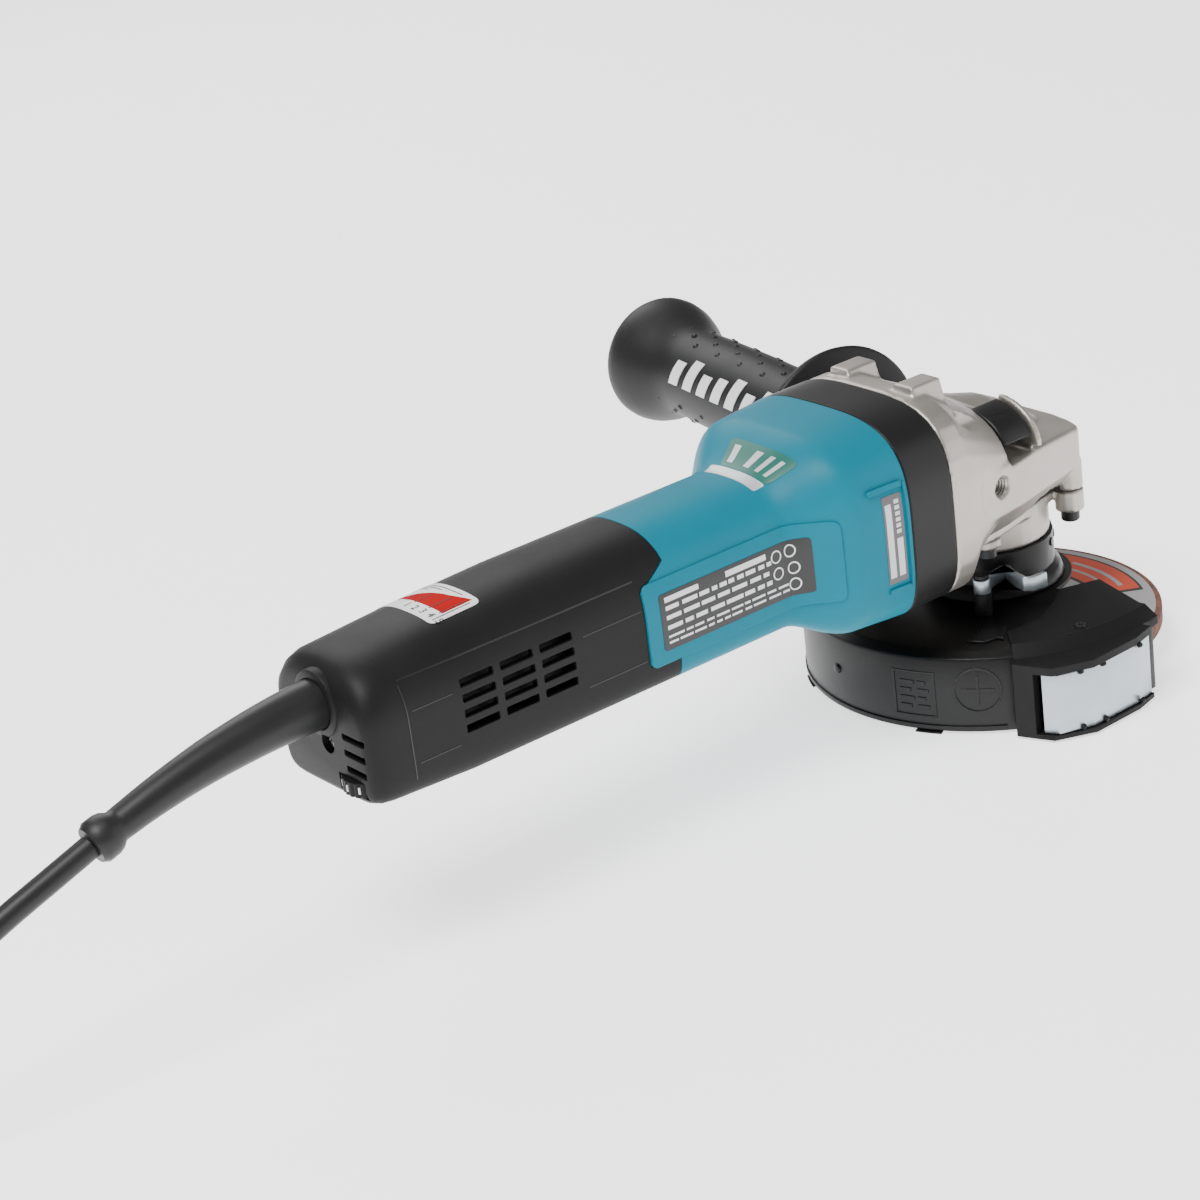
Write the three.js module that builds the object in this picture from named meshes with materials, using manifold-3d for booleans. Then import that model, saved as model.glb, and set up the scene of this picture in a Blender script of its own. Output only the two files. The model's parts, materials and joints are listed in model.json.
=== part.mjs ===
// Corded angle grinder for 125 mm wheels, in millimetres.
// Z runs up along the spindle, and z = 0 is the spindle's end face.
// X runs along the motor towards the gear head, and +Y is the side that the handle is on.

import * as THREE from 'three';
import { mergeVertices } from 'three/addons/utils/BufferGeometryUtils.js';
import Module from 'manifold-3d';

const wasm = await Module();
wasm.setup();

// ---------------------------------------------------------------- driving dimensions

const GAP = 0.3;                    // between faces that touch on the real tool
const DEG = Math.PI / 180;

// wheel, spindle and guard
const WHEEL_RADIUS = 62.5;
const WHEEL_THICKNESS = 6;
const WHEEL_BORE = 11.1;
const WHEEL_RIM_Z = 3.7;            // underside of the rim
const HUB_RISE = 4.5;               // how far the wheel's centre is raised
const HUB_RADIUS = 22;
const SPINDLE_RADIUS = 6;
const THREAD_RADIUS = 7;            // M14
const SPINDLE_TOP = 88;
const GUARD_RADIUS = 72;
const GUARD_WALL = 1.6;
const GUARD_TOP = 25.5;
const GUARD_CHAMFER = 3;
const GUARD_BOTTOM = -5.2;
const GUARD_HALF_ANGLE = 98;        // degrees each side of straight back
const FOOT_DROP = 1;                // hooks under the guard's edge
const COLLAR_WALL = 2.4;
const PLATE_RING_RADIUS = 30;        // narrow ring of the guard's plate in front of the collar

// gear head
const HEAD_PARTING_Z = 58;          // gear housing above, bearing box below
const NECK_RADIUS = 23;
const NECK_BOTTOM = 43;
const SPIGOT_RADIUS = 21.4;         // the guard's collar closes on this
const SPIGOT_BOTTOM = 27.5;
const DECK_Z = 86;                  // top of the flank
const DECK_FALL = 4.6;               // from there to the nose
const CREASE_Z = 68;                // the flank is upright above this
const EAR_OFFSET = 21.8;            // the four screws under the head stand on this square
const EAR_RADIUS = 5.5;
const EAR_BOTTOM = 49.5;
const NOSE_X = 31;
const FRONT_RING_X = -55.5;         // face between the black ring and the gear housing
const HOUSING_FRONT_X = -76.5;      // face between the black ring and the motor housing

// motor and its housings
const MOTOR_Z = 79.5;
const TRUNK_HALF_WIDTH = 27.5;
const TRUNK_TOP = 26;               // above the motor's axis
const TRUNK_BOTTOM = 26;            // below it
const FRONT_HALF_WIDTH = 43.4;
const FRONT_TOP = 38.1;
const FRONT_BOTTOM = 37;
const SHOULDER_BACK_X = -122;
const SHOULDER_FRONT_X = -97;
const COVER_FRONT_X = -170;
const COVER_BACK_X = -295.8;
const TONGUE_LENGTH = 13;
const TONGUE_Z = [64.3, 90.4];
const TONGUE_SLANT = 6.6;            // how much higher the tongue's root is than its end
const SHELL_WALL = 2.6;

// bevel gears
const RING_TEETH = 35;
const PINION_TEETH = 10;
const RING_PITCH_RADIUS = 19;
const LOCK_FLANGE_RADIUS = 27;
const LOCK_CIRCLE = 24;
const LOCK_NOTCHES = 7;               // one for every five teeth

// armature
const SHAFT_RADIUS = 4;
const CORE_RADIUS = 14;
const CORE_X = [-160, -108];
const STATOR_RADIUS = 22.6;
const FAN_RADIUS = 32.6;
const FAN_X = [-82, -66];
const FRONT_BEARING = { x: [-47, -37], radius: 14 };
const REAR_BEARING = { x: [-197, -190], radius: 9.5 };
const COMMUTATOR = { x: [-184, -170], radius: 10.5 };

// side handle
const HANDLE_LEAN = 8.7 * DEG;      // towards the front
const HANDLE_X = -33.5;             // where its axis crosses the middle plane
const HANDLE_Z = 78.3;
const HANDLE_SEAT = 39.2;           // along its axis, from the middle plane to the seat
const HANDLE_FLANGE_RADIUS = 35;
const HANDLE_GRIP_RADIUS = 17.9;
const HANDLE_KNOB_RADIUS = 25.5;
const HANDLE_LENGTH = 147;
const STUD_RADIUS = 3.7;            // M8

// cord
const FLOOR_Z = GUARD_BOTTOM - FOOT_DROP;
const CORD_RADIUS = 4;
const CORD_LIE_Z = FLOOR_Z + CORD_RADIUS + 0.2;
const COIL_CENTRE = [-594, 56];
const COIL_COLUMNS = 4;
const COIL_ROWS = 2;
const COIL_MEAN_RADIUS = 44;
const PLUG_LENGTH = 50;

// ---------------------------------------------------------------- finishes

const finish = (color, roughness, metalness) =>
  new THREE.MeshStandardMaterial({ color, roughness, metalness });
const TEAL = finish(0x0294ae, 0.45, 0);
const CHARCOAL = finish(0x373538, 0.6, 0);
const BLACK_PLASTIC = finish(0x2b292b, 0.55, 0);
const RUBBER = finish(0x222224, 0.8, 0);
const CAST_ALUMINIUM = finish(0xb4afa8, 0.4, 0.9);
const STEEL = finish(0x8d8d90, 0.35, 1);
const BLACK_STEEL = finish(0x2a2a2c, 0.5, 0.6);
const ZINC = finish(0xc9d2d8, 0.3, 0.9);
const ABRASIVE = finish(0x7d6a60, 0.95, 0);
const COPPER = finish(0xb5652f, 0.35, 0.9);
const CARBON = finish(0x3c3c3c, 0.8, 0);
const LAMINATION = finish(0x6b6d70, 0.5, 0.8);
const BOARD = finish(0x1f3d2a, 0.6, 0);

// ---------------------------------------------------------------- solids

const grinder = new THREE.Group();

function solid(geometry) {
  const bare = geometry.clone();
  for (const name of Object.keys(bare.attributes)) if (name !== 'position') bare.deleteAttribute(name);
  const merged = mergeVertices(bare, 1e-4);
  const corners = merged.index.array;
  const triangles = [];
  for (let i = 0; i < corners.length; i += 3) {
    const [a, b, c] = [corners[i], corners[i + 1], corners[i + 2]];
    if (a !== b && b !== c && c !== a) triangles.push(a, b, c);
  }
  const triVerts = Uint32Array.from(triangles);
  const vertProperties = Float32Array.from(merged.attributes.position.array);
  return new wasm.Manifold(new wasm.Mesh({ numProp: 3, vertProperties, triVerts }));
}

function add(name, body, material) {
  const { vertProperties, triVerts } = body.getMesh();
  const geometry = new THREE.BufferGeometry();
  geometry.setAttribute('position', new THREE.BufferAttribute(new Float32Array(vertProperties), 3));
  geometry.setIndex(new THREE.BufferAttribute(new Uint32Array(triVerts), 1));
  geometry.computeVertexNormals();
  const mesh = new THREE.Mesh(geometry, material);
  mesh.name = name;
  grinder.add(mesh);
  return body;
}

const union = (first, ...rest) => rest.reduce((sum, next) => sum.add(next), first);
const cut = (body, ...tools) => tools.reduce((left, tool) => left.subtract(tool), body);

function block([x0, x1], [y0, y1], [z0, z1]) {
  const geometry = new THREE.BoxGeometry(x1 - x0, y1 - y0, z1 - z0);
  geometry.translate((x0 + x1) / 2, (y0 + y1) / 2, (z0 + z1) / 2);
  return solid(geometry);
}

// A matrix that takes the Y axis of a lathe or cylinder to an axis through a point.
function alongAxis(direction, point) {
  const turn = new THREE.Quaternion().setFromUnitVectors(new THREE.Vector3(0, 1, 0), direction);
  return new THREE.Matrix4().compose(point, turn, new THREE.Vector3(1, 1, 1));
}

const X_AXIS = alongAxis(new THREE.Vector3(1, 0, 0), new THREE.Vector3(0, 0, MOTOR_Z));
const Z_AXIS = alongAxis(new THREE.Vector3(0, 0, 1), new THREE.Vector3());
const HANDLE_DIRECTION = new THREE.Vector3(Math.sin(HANDLE_LEAN), Math.cos(HANDLE_LEAN), 0);
const HANDLE_ORIGIN = new THREE.Vector3(HANDLE_X, 0, HANDLE_Z);
const HANDLE_AXIS = alongAxis(HANDLE_DIRECTION, HANDLE_ORIGIN);
const SPARE_DIRECTION = new THREE.Vector3(Math.sin(HANDLE_LEAN), -Math.cos(HANDLE_LEAN), 0);
const SPARE_AXIS = alongAxis(SPARE_DIRECTION, HANDLE_ORIGIN);

// A turned piece: pairs of radius and distance along the axis, from the axis back to it, or closed.
function turned(profile, axis, sides = 24) {
  const points = profile.map(([radius, along]) => new THREE.Vector2(radius, along));
  const closes = profile[0][0] > 0;
  if (closes) points.push(points[0].clone());
  return solid(new THREE.LatheGeometry(points, sides).applyMatrix4(axis));
}

const rod = (radius, [from, to], axis, sides = 16) => turned(
  [[0, from], [radius, from], [radius, to], [0, to]], axis, sides);

const pipe = (inner, outer, [from, to], axis, sides = 24) => turned(
  [[inner, from], [outer, from], [outer, to], [inner, to]], axis, sides);

const upright = (x, y) => alongAxis(new THREE.Vector3(0, 0, 1), new THREE.Vector3(x, y, 0));
const lengthwise = (y, z) => alongAxis(new THREE.Vector3(1, 0, 0), new THREE.Vector3(0, y, z));

// A plate: an outline in the XY plane, raised from z0 to z1.
function plate(outline, [z0, z1], holes = []) {
  const toPath = (Kind, points) => new Kind(points.map(([x, y]) => new THREE.Vector2(x, y)));
  const shape = toPath(THREE.Shape, outline);
  shape.holes = holes.map((points) => toPath(THREE.Path, points));
  const geometry = new THREE.ExtrudeGeometry(shape, { depth: z1 - z0, bevelEnabled: false });
  geometry.translate(0, 0, z0);
  return solid(geometry);
}

// A plate whose outline is in the YZ plane, from x0 to x1.
function sideways(outline, [x0, x1]) {
  const shape = new THREE.Shape(outline.map(([y, z]) => new THREE.Vector2(y, z)));
  const geometry = new THREE.ExtrudeGeometry(shape, { depth: x1 - x0, bevelEnabled: false });
  geometry.applyMatrix4(new THREE.Matrix4().makeBasis(
    new THREE.Vector3(0, 1, 0), new THREE.Vector3(0, 0, 1), new THREE.Vector3(1, 0, 0)));
  geometry.translate(x0, 0, 0);
  return solid(geometry);
}

// A skin over rings of points, with a flat fan on the first ring and on the last.
function loft(rings) {
  const count = rings[0].length;
  const positions = [];
  const index = [];
  for (const ring of rings) for (const point of ring) positions.push(...point);
  const at = (ring, k) => ring * count + (k % count);
  for (let r = 0; r + 1 < rings.length; r += 1) {
    for (let k = 0; k < count; k += 1) {
      index.push(at(r, k), at(r, k + 1), at(r + 1, k + 1), at(r, k), at(r + 1, k + 1), at(r + 1, k));
    }
  }
  for (const [r, flip] of [[0, true], [rings.length - 1, false]]) {
    const middle = [0, 1, 2].map((axis) => rings[r].reduce((sum, point) => sum + point[axis], 0) / count);
    const hub = positions.push(...middle) / 3 - 1;
    for (let k = 0; k < count; k += 1) {
      const [a, b] = flip ? [at(r, k + 1), at(r, k)] : [at(r, k), at(r, k + 1)];
      index.push(hub, a, b);
    }
  }
  const geometry = new THREE.BufferGeometry();
  geometry.setAttribute('position', new THREE.Float32BufferAttribute(positions, 3));
  geometry.setIndex(index);
  return solid(geometry);
}

// A ring that also closes through its middle, for toothed wheels with a bore.
function toothed(rings) {
  const count = rings[0].length;
  const positions = rings.flat(2);
  const index = [];
  const at = (ring, k) => (ring % rings.length) * count + (k % count);
  for (let r = 0; r < rings.length; r += 1) {
    for (let k = 0; k < count; k += 1) {
      index.push(at(r, k), at(r, k + 1), at(r + 1, k + 1), at(r, k), at(r + 1, k + 1), at(r + 1, k));
    }
  }
  const geometry = new THREE.BufferGeometry();
  geometry.setAttribute('position', new THREE.Float32BufferAttribute(positions, 3));
  geometry.setIndex(index);
  return solid(geometry);
}

// A section of the housing at x: an egg-like outline round the motor's axis.
// Higher powers make squarer corners.
const RING_POINTS = 32;
function section(x, { width, top, bottom, crown = 2.6, base = 4 }, inset = 0) {
  const ring = [];
  for (let k = 0; k < RING_POINTS; k += 1) {
    const turn = (2 * Math.PI * (k + 0.5)) / RING_POINTS;
    const [c, s] = [Math.cos(turn), Math.sin(turn)];
    const power = s > 0 ? crown : base;
    const height = s > 0 ? top : bottom;
    const y = Math.sign(c) * (width - inset) * Math.abs(c) ** (2 / power);
    const z = Math.sign(s) * (height - inset) * Math.abs(s) ** (2 / power);
    ring.push([x, y, MOTOR_Z + z]);
  }
  return ring;
}

const trunk = { width: TRUNK_HALF_WIDTH, top: TRUNK_TOP, bottom: TRUNK_BOTTOM, base: 8 };
const front = { width: FRONT_HALF_WIDTH, top: FRONT_TOP, bottom: FRONT_BOTTOM, crown: 3.3, base: 4.5 };

function between(a, b, share) {
  const mix = (key, fallback) => (a[key] ?? fallback) * (1 - share) + (b[key] ?? fallback) * share;
  return {
    width: mix('width'), top: mix('top'), bottom: mix('bottom'), crown: mix('crown', 2.6),
      base: mix('base', 4),
  };
}

// ---------------------------------------------------------------- housings

// Sections from the tail to the front of the motor housing.
function housingSections(inset) {
  const tail = { ...trunk, top: TRUNK_TOP - 4, bottom: TRUNK_BOTTOM - 1.5 };
  const rows = [
    [COVER_BACK_X, { ...tail, width: TRUNK_HALF_WIDTH - 5, top: tail.top - 9, bottom: tail.bottom - 3.5 }],
    [COVER_BACK_X + 1.4, {
      ...tail, width: TRUNK_HALF_WIDTH - 2, top: tail.top - 4.6, bottom: tail.bottom - 1.3,
    }],
    [COVER_BACK_X + 4, {
      ...tail, width: TRUNK_HALF_WIDTH - 0.7, top: tail.top - 1.6, bottom: tail.bottom - 0.4,
    }],
    [COVER_BACK_X + 8, { ...tail, width: TRUNK_HALF_WIDTH - 0.1 }],
    [COVER_BACK_X + 40, { ...trunk, top: TRUNK_TOP - 1.6 }],
    [COVER_BACK_X + 80, trunk],
    [COVER_FRONT_X, trunk],
    [SHOULDER_BACK_X - 10, trunk],
  ];
  const flare = { ...front, width: front.width - 1.2, top: front.top - 1.4, bottom: front.bottom - 1.4 };
  const steps = inset ? 3 : 5;
  for (let k = 0; k <= steps; k += 1) {
    const share = k / steps;
    const smooth = share * share * (3 - 2 * share);
    const x = SHOULDER_BACK_X + share * (SHOULDER_FRONT_X - SHOULDER_BACK_X);
    rows.push([x, between(trunk, flare, smooth)]);
  }
  rows.push([HOUSING_FRONT_X, front]);
  return rows.map(([x, shape]) => section(x, shape, inset));
}

const housingOutside = loft(housingSections(0));
const housingInside = loft(housingSections(SHELL_WALL).map((ring, k) => (
  k === 0 ? ring.map(([x, y, z]) => [x + SHELL_WALL, y, z]) : ring
)).filter((ring, k) => ![1, 2, 4, 6].includes(k)));
const pastFront = loft([
  section(HOUSING_FRONT_X - 0.01, front, SHELL_WALL), section(HOUSING_FRONT_X + 1, front, SHELL_WALL),
]);
const housingShell = cut(housingOutside, housingInside, pastFront);

// The motor housing reaches back in a tongue on each flank, and the rear cover is cut round it.
function motorSide(gap) {
  const wide = FRONT_HALF_WIDTH + 10;
  const backX = COVER_FRONT_X - gap;
  const tongueX = COVER_FRONT_X - TONGUE_LENGTH - gap;
  const outline = [
    [tongueX, TONGUE_Z[0] - gap], [backX + 1, TONGUE_Z[0] - gap],
    [backX + 1, TONGUE_Z[1] + TONGUE_SLANT + gap],
    [backX, TONGUE_Z[1] + TONGUE_SLANT + gap], [tongueX, TONGUE_Z[1] + gap],
  ];
  const root = TRUNK_HALF_WIDTH - 6;
  return union(
    block([backX, HOUSING_FRONT_X + 5], [-wide, wide], [-10, 180]),
    plate(outline, [root, wide]).rotate([90, 0, 0]),
    plate(outline, [-wide, -root]).rotate([90, 0, 0]),
  );
}

// slide switch on the +Y flank
const SWITCH_TRAVEL = 6;
const SWITCH_X = [-152, -128];
const SWITCH_Z = [MOTOR_Z + 1, MOTOR_Z + 11];
const RAIL = {
  y: [TRUNK_HALF_WIDTH - SHELL_WALL - 2.3, TRUNK_HALF_WIDTH - SHELL_WALL - 1.2],
  z: [SWITCH_Z[0] + 4.7, SWITCH_Z[0] + 8.2],
};
const switchSlot = block(
  [SWITCH_X[0] + 5 - GAP, SWITCH_X[1] - 5 + SWITCH_TRAVEL + GAP],
  [TRUNK_HALF_WIDTH - SHELL_WALL - 4, TRUNK_HALF_WIDTH + 5],
  [SWITCH_Z[0] + 2.2, SWITCH_Z[1] - 2.2],
);

// The brush carrier's spigot runs back inside the rear cover.
const SPIGOT_INSET = SHELL_WALL + 0.4;
const spigotShape = {
  ...trunk, width: trunk.width - SPIGOT_INSET, top: trunk.top - SPIGOT_INSET,
    bottom: trunk.bottom - SPIGOT_INSET,
};
const spigotBack = REAR_BEARING.x[0] - 3;
const spigotOutside = loft([section(spigotBack, spigotShape), section(COVER_FRONT_X + 4, spigotShape)]);
const spigotInside = loft([
  section(REAR_BEARING.x[1] + 4, spigotShape, 2.2), section(COVER_FRONT_X + 5, spigotShape, 2.2),
]);
const spigotRoot = cut(
  loft([section(COVER_FRONT_X + 1, spigotShape, -0.2), section(COVER_FRONT_X + 4, spigotShape, -0.6)]),
  loft([section(COVER_FRONT_X, spigotShape, 2.2), section(COVER_FRONT_X + 5, spigotShape, 2.2)]),
);
const BRUSH_X = (COMMUTATOR.x[0] + COMMUTATOR.x[1]) / 2;
const BRUSH_REACH = TRUNK_HALF_WIDTH - SHELL_WALL - 1.7;
const HOLDER = { halfLength: 6.5, halfHeight: 5.2, inner: COMMUTATOR.radius + 1.5, outer: BRUSH_REACH };
const brushHole = block(
  [BRUSH_X - HOLDER.halfLength - GAP, BRUSH_X + HOLDER.halfLength + GAP],
  [-TRUNK_HALF_WIDTH + SHELL_WALL - 0.1, TRUNK_HALF_WIDTH - SHELL_WALL + 0.1],
  [MOTOR_Z - HOLDER.halfHeight - GAP, MOTOR_Z + HOLDER.halfHeight + GAP],
);
const airWays = [0, 1, 2, 3].map((k) => {
  const angle = (45 + 90 * k) * DEG;
  const axis = lengthwise(16 * Math.cos(angle), MOTOR_Z + 16 * Math.sin(angle));
  return rod(5, [spigotBack - 1, REAR_BEARING.x[1] + 5], axis, 8);
});
const carrier = cut(
  union(spigotOutside.subtract(spigotInside), spigotRoot),
  rod(REAR_BEARING.radius + GAP, [REAR_BEARING.x[0] - GAP, REAR_BEARING.x[1] + 6], X_AXIS),
  rod(SHAFT_RADIUS + 1, [spigotBack - 1, REAR_BEARING.x[1]], X_AXIS),
  brushHole,
  block([spigotBack - 1, COVER_FRONT_X + 8], [RAIL.y[0] - 0.5, TRUNK_HALF_WIDTH],
    [RAIL.z[0] - 0.4, RAIL.z[1] + 0.4]),
  ...airWays,
);
const carrierRoom = block([spigotBack - 1, COVER_FRONT_X + 5], [-40, 40], [0, 140]);
add('motor_housing', cut(
  housingShell.intersect(motorSide(0)).add(carrier.intersect(carrierRoom)),
  switchSlot,
), TEAL);

// rear cover with its air slots, dial window and cord hole
const VENT = {
  x: -258.7, length: 13.3, pitch: 16.1, height: 2.9, columns: 3, rows: 4, rowPitch: 5.3, lowZ: 69.5,
};
const ventCutters = [];
for (let row = 0; row < VENT.rows; row += 1) {
  for (let column = 0; column < VENT.columns; column += 1) {
    const x = VENT.x + column * VENT.pitch;
    const z = VENT.lowZ + row * VENT.rowPitch;
    ventCutters.push(block([x, x + VENT.length], [-TRUNK_HALF_WIDTH - 5, TRUNK_HALF_WIDTH + 5],
      [z, z + VENT.height]));
  }
}
const CORD_EXIT_Z = 86.6;
const BOOT_RADIUS = 8.6;
const BOOT_FLANGE_RADIUS = 10.6;     // holds the boot behind the cover's sleeve
const DIAL = { x: -288.2, y: -14, z: 58.9, radius: 10, height: 5 };
const tailSlots = [];
for (const side of [-1, 1]) {
  for (let row = 0; row < (side < 0 ? 3 : 2); row += 1) {
    const z = MOTOR_Z + 0.3 - 5.7 * row;
    const y = side < 0 ? [-24 + row * 0.5, -12.2] : [12.2, 23.5 - row];
    tailSlots.push(block([COVER_BACK_X - 2, COVER_BACK_X + 12], y, [z - 2.4, z]));
  }
}
const coverScrewY = -3;
const coverScrewZ = 73.2;
const tailBoss = rod(4.4, [COVER_BACK_X + 0.5, COVER_BACK_X + 14], lengthwise(coverScrewY, coverScrewZ), 20);
const cordSleeve = rod(BOOT_RADIUS + 3, [COVER_BACK_X - 1.2, COVER_BACK_X + 6.9],
  lengthwise(0, CORD_EXIT_Z), 28);
const coverBody = union(
  cut(housingShell, motorSide(GAP)),
  tailBoss.intersect(housingOutside),
  cordSleeve.intersect(block([COVER_BACK_X - 1.2, COVER_BACK_X + 6.9], [-30, 30], [MOTOR_Z - 4, 110])),
);
add('rear_cover', cut(
  coverBody,
  ...ventCutters,
  ...tailSlots,
  rod(BOOT_RADIUS + GAP, [COVER_BACK_X - 3, COVER_BACK_X + 12], lengthwise(0, CORD_EXIT_Z), 28),
  rod(BOOT_FLANGE_RADIUS + GAP, [COVER_BACK_X + 7.2, COVER_BACK_X + 15], lengthwise(0, CORD_EXIT_Z), 28),
  rod(2, [COVER_BACK_X - 1, COVER_BACK_X + 16], lengthwise(coverScrewY, coverScrewZ), 16),
  rod(3.4, [COVER_BACK_X - 1, COVER_BACK_X + 4], lengthwise(coverScrewY, coverScrewZ), 20),
  rod(DIAL.radius + 0.5, [DIAL.z - 0.5, DIAL.z + DIAL.height + 0.5], upright(DIAL.x, DIAL.y), 32),
), CHARCOAL);
add('rear_cover_screw', union(
  rod(3, [COVER_BACK_X + 2, COVER_BACK_X + 3.7], lengthwise(coverScrewY, coverScrewZ), 20),
  rod(1.7, [COVER_BACK_X + 3, COVER_BACK_X + 28], lengthwise(coverScrewY, coverScrewZ), 16),
), STEEL);

// black ring between the motor housing and the gear housing, with the air guide in it
const ringBack = HOUSING_FRONT_X + GAP;
const ringFront = FRONT_RING_X - GAP;
add('front_ring', cut(
  loft([section(ringBack, front), section(ringFront, front)]),
  loft([section(ringBack - 1, front, 3), section(ringFront + 1, front, 3)]),
), BLACK_PLASTIC);

const BAFFLE_X = [-91, -88.5];
const baffleShape = between(trunk, front, 1);
add('air_baffle', cut(
  loft([section(BAFFLE_X[0], baffleShape, SHELL_WALL + 2.2),
    section(BAFFLE_X[1], baffleShape, SHELL_WALL + 2.2)]),
  rod(21, [BAFFLE_X[0] - 1, BAFFLE_X[1] + 1], X_AXIS),
), BLACK_PLASTIC);

// ---------------------------------------------------------------- gear head

const mirrored = (half) => [...half, ...half.slice().reverse().map(([x, y]) => [x, -y])];
const seatPoint = (slip) => [
  HANDLE_X + HANDLE_SEAT * Math.sin(HANDLE_LEAN) + slip * Math.cos(HANDLE_LEAN),
  HANDLE_SEAT * Math.cos(HANDLE_LEAN) - slip * Math.sin(HANDLE_LEAN),
];
const headOutline = (inset) => {
  const half = [
    [-50, 40.5 - inset],
    [seatPoint(-9)[0], seatPoint(-9)[1] - inset],
    [seatPoint(10)[0], seatPoint(10)[1] - inset],
    [NOSE_X - 8, 27.2 - inset],
    [NOSE_X - 5.5 - inset * 0.3, 25 - inset],
    [NOSE_X - 3.2 - inset * 0.4, 19 - inset * 0.5],
    [NOSE_X - 0.8 - inset * 0.4, 9 - inset * 0.2],
  ];
  return mirrored(half).reverse();
};
const atHeight = (outline, z) => outline.map(([x, y]) => [x, y, z]);
const alongDeck = (outline, drop) => outline.map(
  ([x, y]) => [x, y, DECK_Z - drop - DECK_FALL * Math.max(0, (x + 6) / (NOSE_X + 6))]);
const headBlock = loft([
  atHeight(headOutline(7.5), HEAD_PARTING_Z + GAP / 2),
  atHeight(headOutline(0), CREASE_Z),
  alongDeck(headOutline(0), 1),
  alongDeck(headOutline(0.8), 0),
]);

// shoulders that run down from the front ring's outline to the deck, and the ridge over the pinion
const shoulder = loft([
  section(FRONT_RING_X, front),
  section(FRONT_RING_X + 9, front),
  section(-40, { width: 41.4, top: 34.6, bottom: 31, crown: 3, base: 3.6 }),
  section(-30, { width: 39.3, top: 29.8, bottom: 25, crown: 2.6, base: 3.2 }),
  section(-22, { width: 37.4, top: 25, bottom: 21, crown: 2.4, base: 3 }),
  section(-8, { width: 33.5, top: 17, bottom: 19, crown: 2.2, base: 3 }),
  section(6, { width: 28, top: 9, bottom: 15, crown: 2, base: 3 }),
]).intersect(union(
  block([FRONT_RING_X, -30 - GAP], [-60, 60], [0, 140]),
  block([FRONT_RING_X, 10], [-60, 60], [HEAD_PARTING_Z + GAP / 2, 140]),
));
const ridge = loft([
  [-46, 29, 35.5], [-36, 25, 32], [-28, 20, 28], [-20, 17.5, 24], [-10, 16, 20.8], [0, 15, 18],
  [10, 14.2, 13], [18, 13, 7.5], [24, 11.5, 2.5], [28.5, 9.5, -2.5],
].map(([x, width, top]) => section(x, { width, top: top + 6, bottom: 6, crown: 2.4, base: 6 })
  .map(([px, y, z]) => [px, y, z - 6])));

// the two ribs that stand up on the flange
const flangeRib = (y) => sideways([
  [y - 7.6, MOTOR_Z + 30], [y + 7.6, MOTOR_Z + 30],
  [y + 4.6, MOTOR_Z + FRONT_TOP + 2], [y - 4.6, MOTOR_Z + FRONT_TOP + 2],
], [-51, -37]);

const earColumns = (z, radius = EAR_RADIUS) => [[1, 1], [1, -1], [-1, 1], [-1, -1]].map(
  ([sx, sy]) => rod(radius, z, upright(sx * EAR_OFFSET, sy * EAR_OFFSET), 12));

// shaft lock: a curved button on the near shoulder of the head, over a pin
const BUTTON = { x: [-21, -7], y: -17, z: DECK_Z + 0.2, reach: 18.4, rise: 15.2, thickness: 3.2, low: 3.6 };
const LOCK_TRAVEL = 4;
const LOCK_PIN_TURN = 32.5 * DEG;
const LOCK_PIN = {
  x: -LOCK_CIRCLE * Math.sin(LOCK_PIN_TURN), y: -LOCK_CIRCLE * Math.cos(LOCK_PIN_TURN), radius: 2.2,
    head: 3.5,
};
const lockArc = (grow, steps = 10) => {
  const points = [];
  for (let k = 0; k <= steps; k += 1) {
    const turn = (k / steps) * 90 * DEG;
    points.push([
      BUTTON.y - (BUTTON.reach + grow) * Math.sin(turn),
      BUTTON.z + (BUTTON.rise + grow) * Math.cos(turn),
    ]);
  }
  return points;
};
const pocketFloor = DECK_Z - LOCK_TRAVEL + BUTTON.low - 1.4;
const pocket = block([BUTTON.x[0] - 0.6, BUTTON.x[1] + 0.6], [-60, BUTTON.y + 1], [pocketFloor, 150]);
const nearDeck = block([BUTTON.x[1] + 3, NOSE_X + 10], [-60, BUTTON.y - 1.5], [DECK_Z, 150]);
const farDeck = block([12, NOSE_X + 10], [16.5, 60], [DECK_Z, 150]);
const pocketRib = sideways([...lockArc(1), [BUTTON.y, BUTTON.z]], [BUTTON.x[1] + 0.7, BUTTON.x[1] + 3]);

const chamber = rod(LOCK_FLANGE_RADIUS + 0.9, [HEAD_PARTING_Z - 1, HEAD_PARTING_Z + 12], Z_AXIS, 28);
const crownRoom = rod(RING_PITCH_RADIUS + 1.9, [HEAD_PARTING_Z, HEAD_PARTING_Z + 19.5], Z_AXIS);
const springFloor = HEAD_PARTING_Z + 20.8;
const pinionBore = rod(9.6, [FRONT_BEARING.x[1] - 1, -4], X_AXIS);
const bearingBore = rod(FRONT_BEARING.radius + GAP, [FRONT_RING_X - 1, FRONT_BEARING.x[1] + GAP], X_AXIS);
const fanRecess = rod(FAN_RADIUS + 0.8, [FRONT_RING_X - 1, FRONT_RING_X + 3], X_AXIS, 28);
const needleBore = rod(8 + GAP, [HEAD_PARTING_Z + 10, SPINDLE_TOP + 1.5], Z_AXIS);
const lockBore = rod(LOCK_PIN.radius + GAP, [HEAD_PARTING_Z + 9, 120], upright(LOCK_PIN.x, LOCK_PIN.y), 12);
const springWell = rod(LOCK_PIN.head + 0.4, [springFloor, 120], upright(LOCK_PIN.x, LOCK_PIN.y), 16);
const handleBores = [HANDLE_AXIS, SPARE_AXIS].map((axis) => rod(STUD_RADIUS + GAP, [24, 60], axis, 16));
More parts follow.
